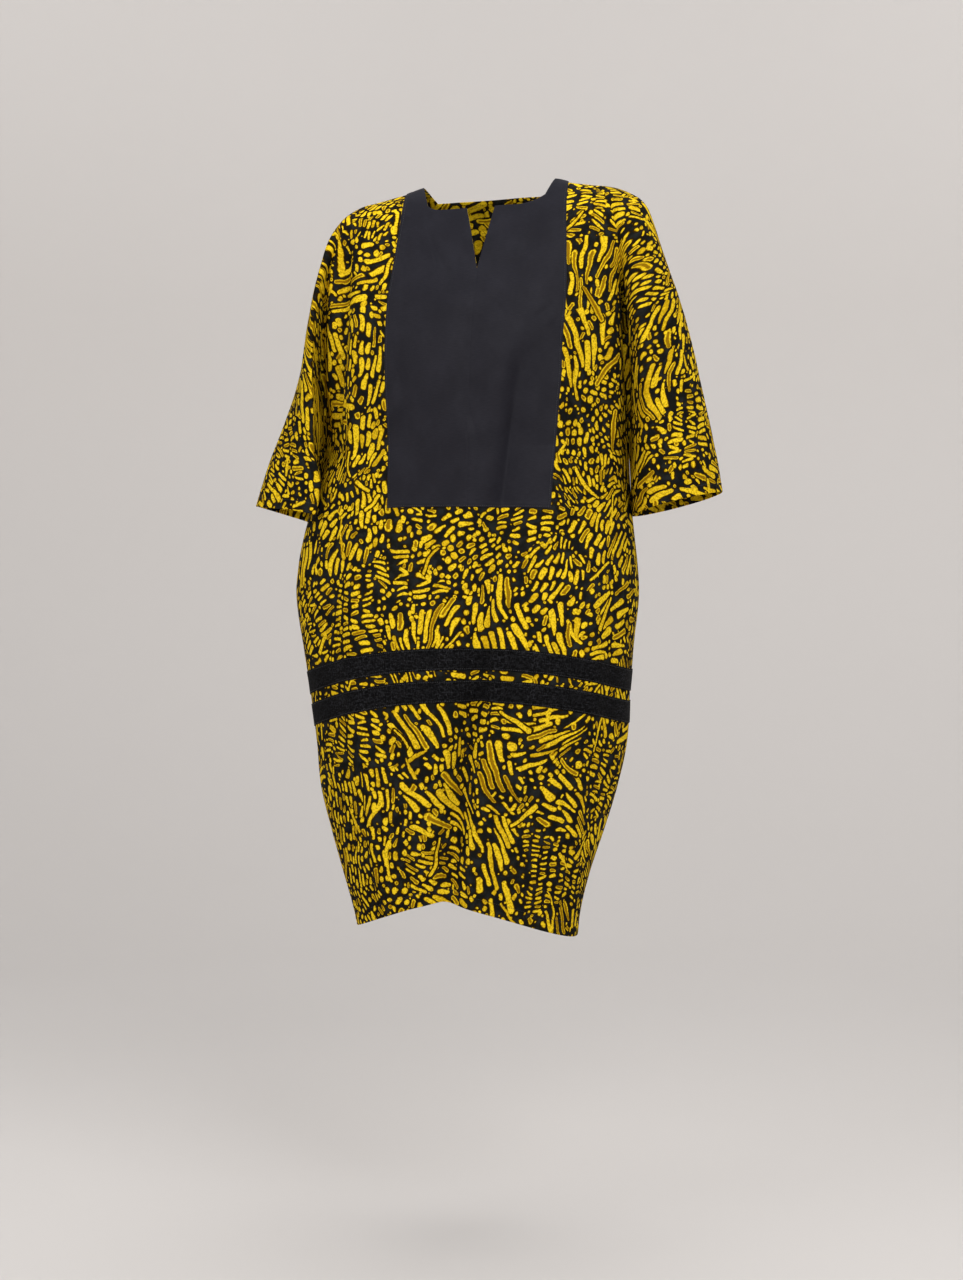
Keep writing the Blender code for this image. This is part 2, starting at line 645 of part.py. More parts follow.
def main():
    for thing in list(bpy.data.objects):
        bpy.data.objects.remove(thing, do_unlink=True)
    collection = bpy.data.collections.new("adire_shift_dress")
    bpy.context.scene.collection.children.link(collection)
    for panel in (FRONT, BACK):
        build_panel(collection, panel)


main()
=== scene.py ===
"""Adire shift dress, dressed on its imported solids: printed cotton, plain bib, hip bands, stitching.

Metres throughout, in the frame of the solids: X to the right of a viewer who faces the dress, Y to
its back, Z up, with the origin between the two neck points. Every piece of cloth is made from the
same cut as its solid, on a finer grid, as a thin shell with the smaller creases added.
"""

from __future__ import annotations

import logging
import math
from dataclasses import dataclass, field
from enum import Enum
from typing import Callable, NamedTuple, Sequence, Union

import bpy
import numpy as np
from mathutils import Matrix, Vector, noise

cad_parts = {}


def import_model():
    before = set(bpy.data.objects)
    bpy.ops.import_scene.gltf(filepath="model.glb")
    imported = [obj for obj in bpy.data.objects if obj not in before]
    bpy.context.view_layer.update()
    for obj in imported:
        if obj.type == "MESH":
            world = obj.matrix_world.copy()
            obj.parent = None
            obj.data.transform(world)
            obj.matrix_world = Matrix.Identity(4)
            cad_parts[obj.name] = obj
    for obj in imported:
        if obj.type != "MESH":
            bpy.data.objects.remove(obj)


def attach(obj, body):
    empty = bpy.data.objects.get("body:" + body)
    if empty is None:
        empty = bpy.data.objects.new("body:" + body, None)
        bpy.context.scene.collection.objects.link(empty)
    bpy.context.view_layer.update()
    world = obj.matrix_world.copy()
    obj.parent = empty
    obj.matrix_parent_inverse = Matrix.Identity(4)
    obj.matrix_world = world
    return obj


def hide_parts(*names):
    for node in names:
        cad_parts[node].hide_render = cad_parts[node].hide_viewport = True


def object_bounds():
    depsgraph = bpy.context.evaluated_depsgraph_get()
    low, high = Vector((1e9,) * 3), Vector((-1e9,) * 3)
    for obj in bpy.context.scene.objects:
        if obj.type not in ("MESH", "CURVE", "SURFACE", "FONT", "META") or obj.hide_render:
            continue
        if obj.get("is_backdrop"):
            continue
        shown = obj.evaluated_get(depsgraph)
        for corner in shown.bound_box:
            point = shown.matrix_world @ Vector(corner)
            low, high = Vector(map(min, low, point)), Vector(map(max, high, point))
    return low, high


log = logging.getLogger("dress")

Colour = tuple[float, float, float]

MM = 0.001
UV_NAME = "cut"

# Cloth, as it lies in the space of the solids' walls
SHEET_LIFT = 0.45 * MM
SHEET_THICKNESS = 0.80 * MM
SEAM_GAP = 0.10 * MM
BACK_CLOTH_FROM = (1.67, 0.83)

# Levels that the pieces share, before the pose tilts them
SHOULDER_TIP_Z = -0.034
UNDERARM_Z = -0.385
OVERARM_LEVEL_Z = -0.376
SLEEVE_CLEARANCE = 0.0036
CLEARANCE_DROP = 0.4
HEM_Z = -1.0614

# Neck opening, in shares of the bib's width, and its slit
NECK_FROM = 0.1
NECK_TO = 0.9
NECK_POINT_X = 0.0925
NECK_SQUARE = 4.0
NECK_TURN_IN = 0.0125
NECK_TURN_FADE = 3.0
SLIT_FALL = 0.362
SLIT_HALF_WIDTH = 0.0195
SLIT_LEAN = -0.0035

# Hip bands and the foot of the bib
UPPER_BAND = (-0.6935, -0.7240)
LOWER_BAND = (-0.7385, -0.7690)
BIB_FOOT = -0.473

# Rows of the cut: a fall of 0 is the shoulder seam or neck edge and 1 the underarm level
FRONT_NECK_FALL = 0.108
BACK_NECK_FALL = 0.036
FALLS = (0.0, 0.010, BACK_NECK_FALL, 0.072, FRONT_NECK_FALL, 0.160, 0.222, 0.290, SLIT_FALL)
FALLS += (0.430, 0.500, 0.575, 0.650, 0.725, 0.800, 0.865, 0.930, 1.0)
SIDE_HEIGHTS = (UNDERARM_Z, -0.405, -0.427, -0.450, BIB_FOOT, -0.500, -0.530, -0.560, -0.590)
SIDE_HEIGHTS += (-0.620, -0.650, -0.672, *UPPER_BAND, *LOWER_BAND, -0.795, -0.825, -0.855)
SIDE_HEIGHTS += (-0.885, -0.915, -0.945, -0.975, -1.005, -1.035, HEM_Z)
CUFF_STEPS = 5
SLEEVE_STEPS = 7
UNDERARM_ROW = len(FALLS) - 1
HEM_ROW = UNDERARM_ROW + len(SIDE_HEIGHTS) - 1
CUFF_ROW = UNDERARM_ROW + CUFF_STEPS
SLIT_ROW = FALLS.index(SLIT_FALL)
FALL_LENGTH = 0.40
CUFF_STEP = 0.019
CLOSEST_STATIONS = 0.012

# Slow and quick waves of hanging cloth: waves across and up, a shift, their height
WAVES = ((15.0, 9.0, 0.0, 1.5 * MM), (48.0, 30.0, 7.0, 0.45 * MM))

# Extra columns beside a seam
SEAM_LINES = (0.8 * MM, 2.4 * MM, -0.8 * MM, -2.4 * MM)


class Table:
    """A table of sizes whose named columns are read as smooth curves over its first column."""

    def __init__(self, columns: str, *rows: Sequence[float]) -> None:
        """Args:
        columns: names of the columns after the first, with spaces between.
        rows: the rows, each a station and its values.
        """
        data = np.array(sorted(rows), float)
        self.stations = data[:, 0]
        self.columns = {name: data[:, i + 1] for i, name in enumerate(columns.split())}

    def __getattr__(self, name: str):
        """The curve of one named column, as a function of stations."""
        values = self.__dict__["columns"][name]
        return lambda stations: self.read(values, stations)

    def read(self, values: np.ndarray, stations) -> np.ndarray:
        """A column at some stations.

        Args:
            values: the column.
            stations: where to read it.

        Returns:
            The values there, on a Hermite curve.
        """
        at = np.clip(np.asarray(stations, float), self.stations[0], self.stations[-1])
        index = np.clip(np.searchsorted(self.stations, at, "right"), 1, len(self.stations) - 1) - 1
        before = np.maximum(np.arange(len(values)) - 1, 0)
        after = np.minimum(np.arange(len(values)) + 1, len(values) - 1)
        slopes = (values[after] - values[before]) / (self.stations[after] - self.stations[before])
        span = self.stations[index + 1] - self.stations[index]
        t = (at - self.stations[index]) / span
        start = values[index] * (2 * t**3 - 3 * t**2 + 1)
        end = values[index + 1] * (3 * t**2 - 2 * t**3)
        leaving = slopes[index] * span * (t**3 - 2 * t**2 + t)
        arriving = slopes[index + 1] * span * (t**3 - t**2)
        return start + end + leaving + arriving


NECK_EASE = Table(
    "right drop lift",
    (0, 0.005, 0, 0),
    (0.05, 0.0056, 0.0008, 0.004),
    (0.108, 0.0056, 0.0028, 0.01),
    (0.2, 0.0016, 0.0015, 0.0036),
    (0.32, 0, 0, 0),
    (1, 0, 0, 0),
)
NECK_ROUND_FROM = (0.74, 0.45)
LEFT_CORNER_LIFT = 0.42
SHOULDER = Table(
    "z",
    (0, 0.006),
    (0.05, 0.0045),
    (0.094, 0),
    (0.12, -0.007),
    (0.144, -0.012),
    (0.178, -0.019),
    (0.212, SHOULDER_TIP_Z),
)
OVERARM = Table(
    "left right y",
    (-0.456, 0.3415, 0.3315, 0.015),
    (-0.385, 0.319, 0.318, 0.014),
    (-0.307, 0.29, 0.3015, 0.013),
    (-0.24, 0.2695, 0.286, 0.012),
    (-0.174, 0.2545, 0.266, 0.01),
    (-0.11, 0.239, 0.245, 0.009),
    (-0.067, 0.2255, 0.23, 0.008),
    (-0.048, 0.218, 0.2215, 0.008),
    (SHOULDER_TIP_Z, 0.208, 0.21, 0.008),
)
YOKE = Table(
    "valley_l bib_l bib_r valley_r valley_front valley_back tuck",
    (0, -0.165, -0.1166, 0.113, 0.15, 0.04, 0.042, 50),
    (0.13, -0.2, -0.1155, 0.1148, 0.177, 0.06, 0.062, 45),
    (0.29, -0.224, -0.12, 0.1165, 0.1885, 0.055, 0.066, 38),
    (0.45, -0.234, -0.1265, 0.1172, 0.1925, 0.04, 0.055, 33),
    (0.6, -0.237, -0.1284, 0.113, 0.196, 0.024, 0.043, 29),
    (0.72, -0.238, -0.1278, 0.11, 0.1985, 0.011, 0.032, 26),
    (0.86, -0.239, -0.1256, 0.105, 0.199, -0.002, 0.021, 22),
    (1, -0.24, -0.1238, 0.101, 0.197, -0.012, 0.012, 18),
)
ARM = Table(
    "front_l front_r back_l back_r wrap lean_l lean_r",
    (0, 0.045, 0.048, 0.045, 0.048, 115, 0, 0),
    (0.13, 0.061, 0.064, 0.061, 0.064, 120, 0, 0),
    (0.45, 0.077, 0.084, 0.08, 0.086, 132, 0.004, 0.01),
    (0.72, 0.08, 0.086, 0.089, 0.09, 142, 0.018, 0.016),
    (1, 0.083, 0.084, 0.095, 0.092, 150, 0.036, 0.016),
    (1.25, 0.085, 0.081, 0.098, 0.092, 168, 0.047, 0.014),
    (1.5, 0.086, 0.079, 0.099, 0.091, 180, 0.054, 0.012),
    (2, 0.086, 0.075, 0.1, 0.088, 180, 0.062, 0.01),
)
DEPTH = Table(
    "front back",
    (HEM_Z, 0.126, 0.118),
    (-1, 0.132, 0.124),
    (-0.9, 0.143, 0.134),
    (-0.8, 0.153, 0.144),
    (-0.71, 0.16, 0.15),
    (-0.63, 0.159, 0.147),
    (-0.55, 0.153, 0.133),
    (-0.47, 0.15, 0.117),
    (-0.4, 0.153, 0.112),
    (-0.32, 0.158, 0.117),
    (-0.25, 0.156, 0.123),
    (-0.19, 0.143, 0.123),
    (-0.139, 0.122, 0.116),
    (-0.09, 0.098, 0.102),
    (-0.045, 0.069, 0.078),
    (0, 0.046, 0.05),
)
SKIRT = Table(
    "left bib_l bib_r right side_y tuck square",
    (HEM_Z, -0.1875, -0.105, 0.042, 0.1245, -0.008, 0, 2.2),
    (-1.025, -0.1955, -0.109, 0.045, 0.129, -0.008, 0, 2.2),
    (-0.975, -0.2085, -0.115, 0.052, 0.1425, -0.008, 0, 2.2),
    (-0.92, -0.2235, -0.121, 0.06, 0.1615, -0.008, 0, 2.2),
    (-0.857, -0.2385, -0.126, 0.07, 0.181, -0.008, 0, 2.2),
    (-0.79, -0.245, -0.129, 0.078, 0.195, -0.007, 0, 2.2),
    (-0.72, -0.255, -0.131, 0.083, 0.1995, -0.005, 0, 2.2),
    (-0.65, -0.2672, -0.132, 0.086, 0.2045, -0.002, 0, 2.2),
    (-0.59, -0.2768, -0.131, 0.089, 0.211, 0.002, 0, 2.15),
    (-0.54, -0.2742, -0.128, 0.092, 0.2085, 0.008, 0, 2.1),
    (-0.47, -0.26, -0.1238, 0.096, 0.1995, 0.016, 0, 2),
    (-0.427, -0.248, -0.1238, 0.0985, 0.1975, 0.017, 2, 2),
    (-0.405, -0.243, -0.1238, 0.1, 0.197, 0.015, 7, 2),
    (UNDERARM_Z, -0.24, -0.1238, 0.101, 0.197, 0.012, 18, 2),
)
HANG = Table(
    "roll rise_front rise_back power apex",
    (HEM_Z, -0.035, 0.05, 0.035, 1.35, -0.022),
    (-0.98, -0.02, 0.047, 0.032, 1.55, -0.018),
    (-0.88, 0, 0.042, 0.026, 1.85, -0.01),
    (-0.76, 0.016, 0.035, 0.02, 2.3, 0),
    (-0.69, 0.012, 0.032, 0.017, 2.4, 0),
    (-0.6, 0.004, 0.02, 0.012, 2.4, 0),
    (-0.5, -0.008, 0.006, 0.005, 2.4, 0),
    (-0.45, 0, 0.002, 0.002, 2.4, 0),
    (UNDERARM_Z, 0.012, 0, 0, 2.4, 0),
    (-0.2, 0.034, 0, 0, 2.4, 0),
    (0, 0.048, 0, 0, 2.4, 0),
)


class Cuff(NamedTuple):
    """Where a sleeve ends: outside, inside, and how much lower its front dips."""

    outer_z: float
    inner_z: float
    front_drop: float


CUFF_L = Cuff(-0.4560, -0.4810, 0.0060)
CUFF_R = Cuff(-0.4410, -0.4720, 0.0030)


class Fold(NamedTuple):
    """One large fold of the solids, from its top point to its foot; a negative height dips."""

    top_x: float
    top_z: float
    mid_x: float
    mid_z: float
    foot_x: float
    foot_z: float
    width: float
    height: float


FRONT_FOLDS = (
    Fold(-0.194, -0.06, -0.198, -0.22, -0.214, -0.365, 0.009, -0.013),
    Fold(-0.215, -0.07, -0.22, -0.22, -0.228, -0.35, 0.009, 0.008),
    Fold(-0.168, -0.08, -0.172, -0.26, -0.184, -0.47, 0.013, 0.007),
    Fold(0.172, -0.08, 0.176, -0.24, 0.178, -0.44, 0.011, 0.007),
    Fold(0.236, -0.15, 0.246, -0.26, 0.252, -0.42, 0.014, -0.006),
    Fold(-0.27, -0.2, -0.284, -0.33, -0.296, -0.5, 0.012, -0.004),
    Fold(-0.006, -0.18, -0.01, -0.26, 0, -0.38, 0.018, -0.005),
    Fold(0.067, -0.23, 0.052, -0.36, 0.03, -0.5, 0.018, -0.012),
    Fold(0.034, -0.44, 0.008, -0.59, -0.002, -0.79, 0.024, -0.013),
    Fold(-0.002, -0.7, -0.03, -0.88, -0.053, -1.09, 0.022, -0.016),
    Fold(-0.168, -0.45, -0.17, -0.7, -0.132, -1.06, 0.018, 0.01),
    Fold(0.152, -0.47, 0.15, -0.7, 0.098, -1.06, 0.018, 0.009),
    Fold(0.118, -0.24, 0.106, -0.38, 0.1, -0.54, 0.016, 0.006),
)
BACK_FOLDS = (
    Fold(-0.186, -0.09, -0.19, -0.22, -0.208, -0.36, 0.014, -0.014),
    Fold(0.15, -0.1, 0.158, -0.23, 0.172, -0.36, 0.014, -0.012),
    Fold(-0.1, -0.16, -0.104, -0.33, -0.098, -0.58, 0.022, 0.01),
    Fold(0.066, -0.16, 0.07, -0.33, 0.05, -0.58, 0.022, 0.009),
    Fold(-0.006, -0.22, -0.016, -0.4, -0.024, -0.62, 0.028, -0.012),
    Fold(-0.03, -0.7, -0.036, -0.88, -0.034, -1.08, 0.026, -0.012),
    Fold(-0.158, -0.56, -0.15, -0.82, -0.12, -1.07, 0.02, 0.009),
    Fold(0.104, -0.58, 0.092, -0.82, 0.06, -1.07, 0.02, 0.008),
)
FOLD_FADE = 0.22
SEAM_FADE_STEPS = 2
CREASE_FADE = 0.45
CREASE_TAPER = (0.7, 1.15)
CREASE_SHOULDER = (0.32, 2.4)
PINCH_WIDTH = 0.55


class Crease(NamedTuple):
    """A smaller crease through points seen from the front, in millimetres from the origin."""

    points: tuple[tuple[float, float], ...]
    width: float
    height: float
    pinch: float = 0.0


FRONT_CREASES = (
    Crease(((-88, -52), (-70, -96), (-44, -148), (-30, -190)), 7, -2.2, 0.4),
    Crease(((-100, -70), (-92, -120), (-82, -170)), 9, 1.6),
    Crease(((84, -56), (72, -100), (50, -140)), 8, -1.8, 0.3),
    Crease(((104, -185), (96, -196), (84, -206), (70, -214)), 4.5, -2.4, 0.5),
    Crease(((106, -204), (98, -212), (88, -226)), 4.5, 1.6, 0.3),
    Crease(((-14, -320), (-6, -352), (4, -392), (6, -430)), 7, -2, 0.3),
    Crease(((-118, -250), (-104, -300), (-96, -360), (-92, -430)), 11, -2.2),
    Crease(((-176, -430), (-150, -460), (-118, -484), (-86, -500)), 9, -2.6, 0.3),
    Crease(((-182, -470), (-160, -510), (-140, -560), (-128, -620)), 12, 2.6),
    Crease(((150, -440), (132, -476), (116, -520), (104, -570)), 10, -2.4, 0.2),
    Crease(((60, -520), (52, -580), (44, -640)), 12, 2.4),
    Crease(((-60, -500), (-66, -570), (-62, -650)), 13, -2.4),
    Crease(((-110, -640), (-106, -720), (-100, -800), (-96, -880)), 12, -2.8),
    Crease(((78, -760), (72, -860), (60, -960), (50, -1050)), 12, -3.2),
    Crease(((-106, -860), (-98, -940), (-92, -1050)), 12, -3),
    Crease(((-26, -560), (-22, -640), (-24, -700)), 10, 1.8),
    Crease(((108, -735), (113, -845), (115, -950), (110, -1100)), 7.5, -7, 0.5),
    Crease(((31, -466), (27, -530), (20, -600), (13, -680)), 6.5, -6, 0.5),
    Crease(
        ((8, -550), (5, -650), (11, -716), (-13, -768), (-26, -866), (-36, -950), (-44, -1025)),
        12, -6.5, 0.2,
    ),
    Crease(((8, -640), (2, -720), (-14, -790), (-34, -900), (-46, -980), (-52, -1045)), 28, -14),
    Crease(((-243, -180), (-238, -280), (-231, -380)), 9, -8, 0.3),
    Crease(((-218, -110), (-222, -240), (-218, -330), (-222, -440)), 15, -7),
    Crease(
        ((178, -80), (190, -140), (194, -200), (196, -260), (198, -320), (198, -385)),
        5.5, -9, 0.3,
    ),
    Crease(((54, -300), (45, -380), (36, -450), (28, -520)), 8, -3.6, 0.25),
    Crease(((-164, -720), (-160, -850), (-150, -960), (-140, -1100)), 7.5, -7, 0.5),
    Crease(((10, -790), (0, -870), (-14, -960), (-20, -1040)), 14, 3.2),
)
BACK_CREASES = (
    Crease(((-70, -40), (-60, -100), (-44, -160)), 9, -2.2, 0.3),
    Crease(((66, -40), (54, -104), (36, -164)), 9, -2.2, 0.3),
    Crease(((-150, -400), (-110, -440), (-60, -466), (-6, -474)), 9, -2.4, 0.3),
    Crease(((140, -400), (104, -436), (60, -456), (10, -462)), 9, -2, 0.2),
    Crease(((-120, -470), (-84, -500), (-40, -516)), 10, 2),
    Crease(((-80, -640), (-84, -740), (-78, -850), (-72, -960)), 13, -3),
    Crease(((30, -620), (28, -740), (20, -860), (14, -990)), 13, -3),
    Crease(((76, -700), (72, -820), (60, -950)), 12, 2.4),
    Crease(((-110, -840), (-100, -940), (-92, -1050)), 10, -2.4),
)


class Panel(NamedTuple):
    """What differs between the two panels. `sign` is the side of the plane Y = 0."""

    name: str
    sign: int
    round_over: float
    neck_drop: float
    neck_fall: float
    side_steps: int
    bib_steps: int
    slit: bool
    folds: tuple[Fold, ...]
    creases: tuple[Crease, ...]


FRONT = Panel(
    "front", -1, 0.055, 0.0530, FRONT_NECK_FALL, 9, 12, True, FRONT_FOLDS, FRONT_CREASES
)
BACK = Panel("back", 1, 0.050, 0.0190, BACK_NECK_FALL, 6, 10, False, BACK_FOLDS, BACK_CREASES)


def mix(a, b, share):
    """The value `share` of the way from `a` to `b`."""
    return a + (b - a) * share


def smooth(share):
    """A share from 0 to 1, eased at both ends."""
    share = np.clip(share, 0.0, 1.0)
    return share * share * (3.0 - 2.0 * share)


def bow(share, power):
    """1 in the middle, falling to 0 at a share of -1 and 1, squarer for a higher power."""
    return np.maximum(0.0, 1.0 - np.abs(share) ** power) ** (1.0 / power)


def rounded(drop, height):
    """How far cloth that turns over an edge has reached its full depth, `drop` below it."""
    return np.sqrt(np.maximum(0.0, 1.0 - (1.0 - np.minimum(drop / height, 1.0)) ** 2))


def posed(x, y, z) -> np.ndarray:
    """Places on the dress with the wearer's sideways tilt, as an array of points."""
    return np.stack(np.broadcast_arrays(x, y, z + x * HANG.roll(z)), axis=-1)


class Cut:
    """The shape of one panel: the place of any column and row of its cut, creases included."""

    def __init__(self, panel: Panel) -> None:
        """Args:
        panel: the panel's sizes.
        """
        self.panel = panel
        self.body_steps = 2 * panel.side_steps + panel.bib_steps
        self.left_fork = SLEEVE_STEPS
        self.right_fork = SLEEVE_STEPS + self.body_steps
        self.last = self.right_fork + SLEEVE_STEPS
        self.centre = SLEEVE_STEPS + self.body_steps / 2
        self.neck_from = SLEEVE_STEPS + panel.side_steps + 1
        self.neck_to = SLEEVE_STEPS + panel.side_steps + panel.bib_steps - 1

    def fall(self, rows) -> np.ndarray:
        """Share of the way down to the underarm level."""
        return np.interp(rows, np.arange(len(FALLS)), FALLS)

    def body_x(self, steps, left, bib_l, bib_r, right, tuck) -> tuple[np.ndarray, np.ndarray]:
        """Across the body.

        Args:
            steps: columns of the body.
            left, bib_l, bib_r, right: X of the guides at each row.
            tuck: how far the section turns in at its sides, in degrees.

        Returns:
            X, and the share (-1 to 1) of the way from the middle to the sides.
        """
        side_steps = self.panel.side_steps
        middle = (left + right) / 2
        half = (right - left) / 2
        edge = np.cos(np.radians(tuck))
        x_inside = mix(bib_l, bib_r, self.bib_share(steps))
        on_left = steps < self.body_steps / 2
        inner = np.where(on_left, bib_l, bib_r)
        from_side = np.where(on_left, steps, self.body_steps - steps)
        inner_angle = np.arccos(np.abs(inner - middle) / half * edge)
        angle = mix(np.radians(tuck), inner_angle, from_side / side_steps)
        x_outside = middle + half * np.where(on_left, -1, 1) * np.cos(angle) / edge
        x = np.where(from_side >= side_steps, x_inside, x_outside)
        return x, (x - middle) / half

    def bib_share(self, steps) -> np.ndarray:
        """Share of the bib's width at body columns."""
        bib = self.panel.bib_steps
        return np.interp(
            steps - self.panel.side_steps, (0, 1, bib - 1, bib), (0.0, NECK_FROM, NECK_TO, 1.0)
        )

    def section(self, share, tuck, square) -> np.ndarray:
        """Fullness of a body section: 1 in the middle and 0 at the sides, turned in by `tuck`."""
        edge = np.cos(np.radians(tuck))
        rim = bow(edge, square)
        return (bow(share * edge, square) - rim) / (1.0 - rim)

    def valley_depth(self, fall) -> np.ndarray:
        """Depth of the valley between arm and body."""
        return YOKE.valley_front(fall) if self.panel.sign < 0 else YOKE.valley_back(fall)

    def centre_depth(self, z) -> np.ndarray:
        """Depth of the panel's middle."""
        return DEPTH.front(z) if self.panel.sign < 0 else DEPTH.back(z)

    def neck_edge_z(self, neck) -> np.ndarray:
        """Height of the neck edge, `neck` from -1 to 1 between its corners."""
        corner_z = mix(SHOULDER.z(NECK_POINT_X), UNDERARM_Z, self.panel.neck_fall)
        middle_z = SHOULDER.z(0.0) - self.panel.neck_drop
        return mix(corner_z, middle_z, 1.0 - np.abs(neck) ** NECK_SQUARE)

    def neck_turn(self, fall) -> np.ndarray:
        """How far the neck corners lie inside the neck points, fading out below the edge."""
        above = NECK_TURN_IN * fall / self.panel.neck_fall
        past = (fall - self.panel.neck_fall) / (NECK_TURN_FADE * self.panel.neck_fall)
        below = NECK_TURN_IN * np.maximum(0.0, 1.0 - past)
        return np.where(fall <= self.panel.neck_fall, above, below)

    def yoke_places(self, columns, rows, slit_side: int) -> np.ndarray:
        """Body columns above the underarm level.

        Args:
            columns: columns of the panel.
            rows: rows of the panel, broadcast against the columns.
            slit_side: which edge of the neck slit a column at the centre lies on.

        Returns:
            The places, with one more axis.
        """
        steps = np.asarray(columns, float) - self.left_fork
        fall = self.fall(rows)
        guides = [getattr(YOKE, name) for name in ("valley_l", "bib_l", "bib_r", "valley_r")]
        top_x, _ = self.body_x(steps, *(guide(0.0) for guide in guides), YOKE.tuck(0.0))
        x, share = self.body_x(steps, *(guide(fall) for guide in guides), YOKE.tuck(fall))
        seam_z = SHOULDER.z(np.abs(top_x))
        z = mix(seam_z, UNDERARM_Z, fall)
        on_bib = (steps > self.panel.side_steps) & (steps < self.body_steps - self.panel.side_steps)
        neck = (2 * self.bib_share(steps) - NECK_FROM - NECK_TO) / (NECK_TO - NECK_FROM)
        below_neck = (fall - self.panel.neck_fall) / (1.0 - self.panel.neck_fall)
        strap = 2 * (1.0 - NECK_TO) / (NECK_TO - NECK_FROM)
        edge_share = np.maximum(0.0, np.abs(neck) - 1.0) / strap
        inside_z = mix(self.neck_edge_z(np.clip(neck, -1.0, 1.0)), UNDERARM_Z, below_neck)
        z = np.where(on_bib, mix(inside_z, z, np.clip(edge_share, 0.0, 1.0)), z)
        turn = np.clip(neck, -1.0, 1.0) * self.neck_turn(fall)
        eased = NECK_EASE.right(fall) * np.clip(neck, 0.0, 1.0) ** 3
        x = np.where(on_bib, x + (eased - turn) * (1.0 - edge_share), x)
        lower = NECK_EASE.drop(fall) * (0.5 + 0.5 * np.minimum(np.abs(neck), 1.0) ** 2)
        inside = np.clip(1.0 - edge_share, 0.0, 1.0)
        z = np.where(on_bib, z - lower * inside, z)
        if self.panel.slit:
            round_l, round_r = NECK_ROUND_FROM
            corner_l = np.clip((-neck - round_l) / (1.0 - round_l), 0.0, 1.0) ** 2
            corner_r = np.clip((neck - round_r) / (1.0 - round_r), 0.0, 1.0) ** 2
            lift = NECK_EASE.lift(fall) * (LEFT_CORNER_LIFT * corner_l + corner_r) * inside
            z = np.where(on_bib, z + lift, z)
            side = slit_side if slit_side else np.sign(neck)
            open_share = np.maximum(0.0, (SLIT_FALL - fall) / (SLIT_FALL - FRONT_NECK_FALL))
            shift = (SLIT_LEAN + side * SLIT_HALF_WIDTH) * open_share
            x = np.where(on_bib, x + shift * np.maximum(0.0, 1.0 - np.abs(neck)), x)
        section = self.section(share, YOKE.tuck(fall), 2.0)
        full = mix(self.valley_depth(fall), self.centre_depth(z), section)
        turned = rounded(seam_z - z, self.panel.round_over)
        return posed(x, mix(OVERARM.y(z), self.panel.sign * full, turned), z)

    def skirt_places(self, columns, rows) -> np.ndarray:
        """Body columns below the underarm level.

        Args:
            columns: columns of the panel.
            rows: rows of the panel.

        Returns:
            The places.
        """
        steps = np.asarray(columns, float) - self.left_fork
        below = np.asarray(rows, float) - UNDERARM_ROW
        side_z = np.interp(below, np.arange(len(SIDE_HEIGHTS)), SIDE_HEIGHTS)
        left, right = SKIRT.left(side_z), SKIRT.right(side_z)
        tuck = np.maximum(0.0, SKIRT.tuck(side_z))
        x, share = self.body_x(steps, left, SKIRT.bib_l(side_z), SKIRT.bib_r(side_z), right, tuck)
        apex = (left + right) / 2 + HANG.apex(side_z)
        reach = np.abs((x - apex) / (np.where(x > apex, right, left) - apex))
        rise = HANG.rise_front(side_z) if self.panel.sign < 0 else HANG.rise_back(side_z)
        z = side_z + rise * (1.0 - np.minimum(1.0, reach) ** HANG.power(side_z))
        side = self.panel.sign * SKIRT.side_y(side_z)
        full = mix(side, self.centre_depth(z), self.section(share, tuck, SKIRT.square(side_z)))
        return posed(x, self.panel.sign * full, z)

    def body_places(self, columns, rows, slit_side: int) -> np.ndarray:
        """Body columns at any row.

        Args:
            columns: columns of the panel.
            rows: rows of the panel.
            slit_side: which edge of the neck slit a column at the centre lies on.

        Returns:
            The places.
        """
        above = self.yoke_places(columns, np.minimum(rows, UNDERARM_ROW), slit_side)
        below = self.skirt_places(columns, np.maximum(rows, UNDERARM_ROW))
        return np.where((np.asarray(rows) > UNDERARM_ROW)[..., None], below, above)

    def sleeve_places(self, side: int, columns, rows) -> np.ndarray:
        """Sleeve columns, from the overarm seam to the valley or underarm seam.

        Args:
            side: -1 for the sleeve on the left of the view, 1 for the other.
            columns: columns of the panel.
            rows: rows of the panel.

        Returns:
            The places.
        """
        step = np.asarray(columns, float) if side < 0 else self.last - np.asarray(columns, float)
        share = step / SLEEVE_STEPS
        rows = np.asarray(rows, float)
        drop = np.maximum(0.0, (rows - UNDERARM_ROW) / CUFF_STEPS)
        fall = self.fall(np.minimum(rows, UNDERARM_ROW))
        reach = fall + drop
        wrap = np.radians(ARM.wrap(reach))
        angle = share * wrap
        across = (1.0 - np.cos(angle)) / (1.0 - np.cos(wrap))
        cuff = CUFF_L if side < 0 else CUFF_R
        out_at = OVERARM.left if side < 0 else OVERARM.right
        seam_z = mix(mix(SHOULDER_TIP_Z, OVERARM_LEVEL_Z, fall), cuff.outer_z, drop)
        top_wrap = np.radians(ARM.wrap(0.0))
        top_across = (1.0 - np.cos(share * top_wrap)) / (1.0 - np.cos(top_wrap))
        valley = YOKE.valley_l if side < 0 else YOKE.valley_r
        top_z = SHOULDER.z(np.abs(mix(side * out_at(SHOULDER_TIP_Z), valley(0.0), top_across)))
        z_above = mix(top_z, mix(OVERARM_LEVEL_Z, UNDERARM_Z, across), fall)
        inner_z = mix(UNDERARM_Z, cuff.inner_z, drop)
        z_below = mix(seam_z, inner_z, across)
        if self.panel.sign < 0:
            z_below = z_below - cuff.front_drop * drop * np.sin(angle)
        below = drop > 0.0
        z = np.where(below, z_below, z_above)
        body_side = SKIRT.left(inner_z) if side < 0 else SKIRT.right(inner_z)
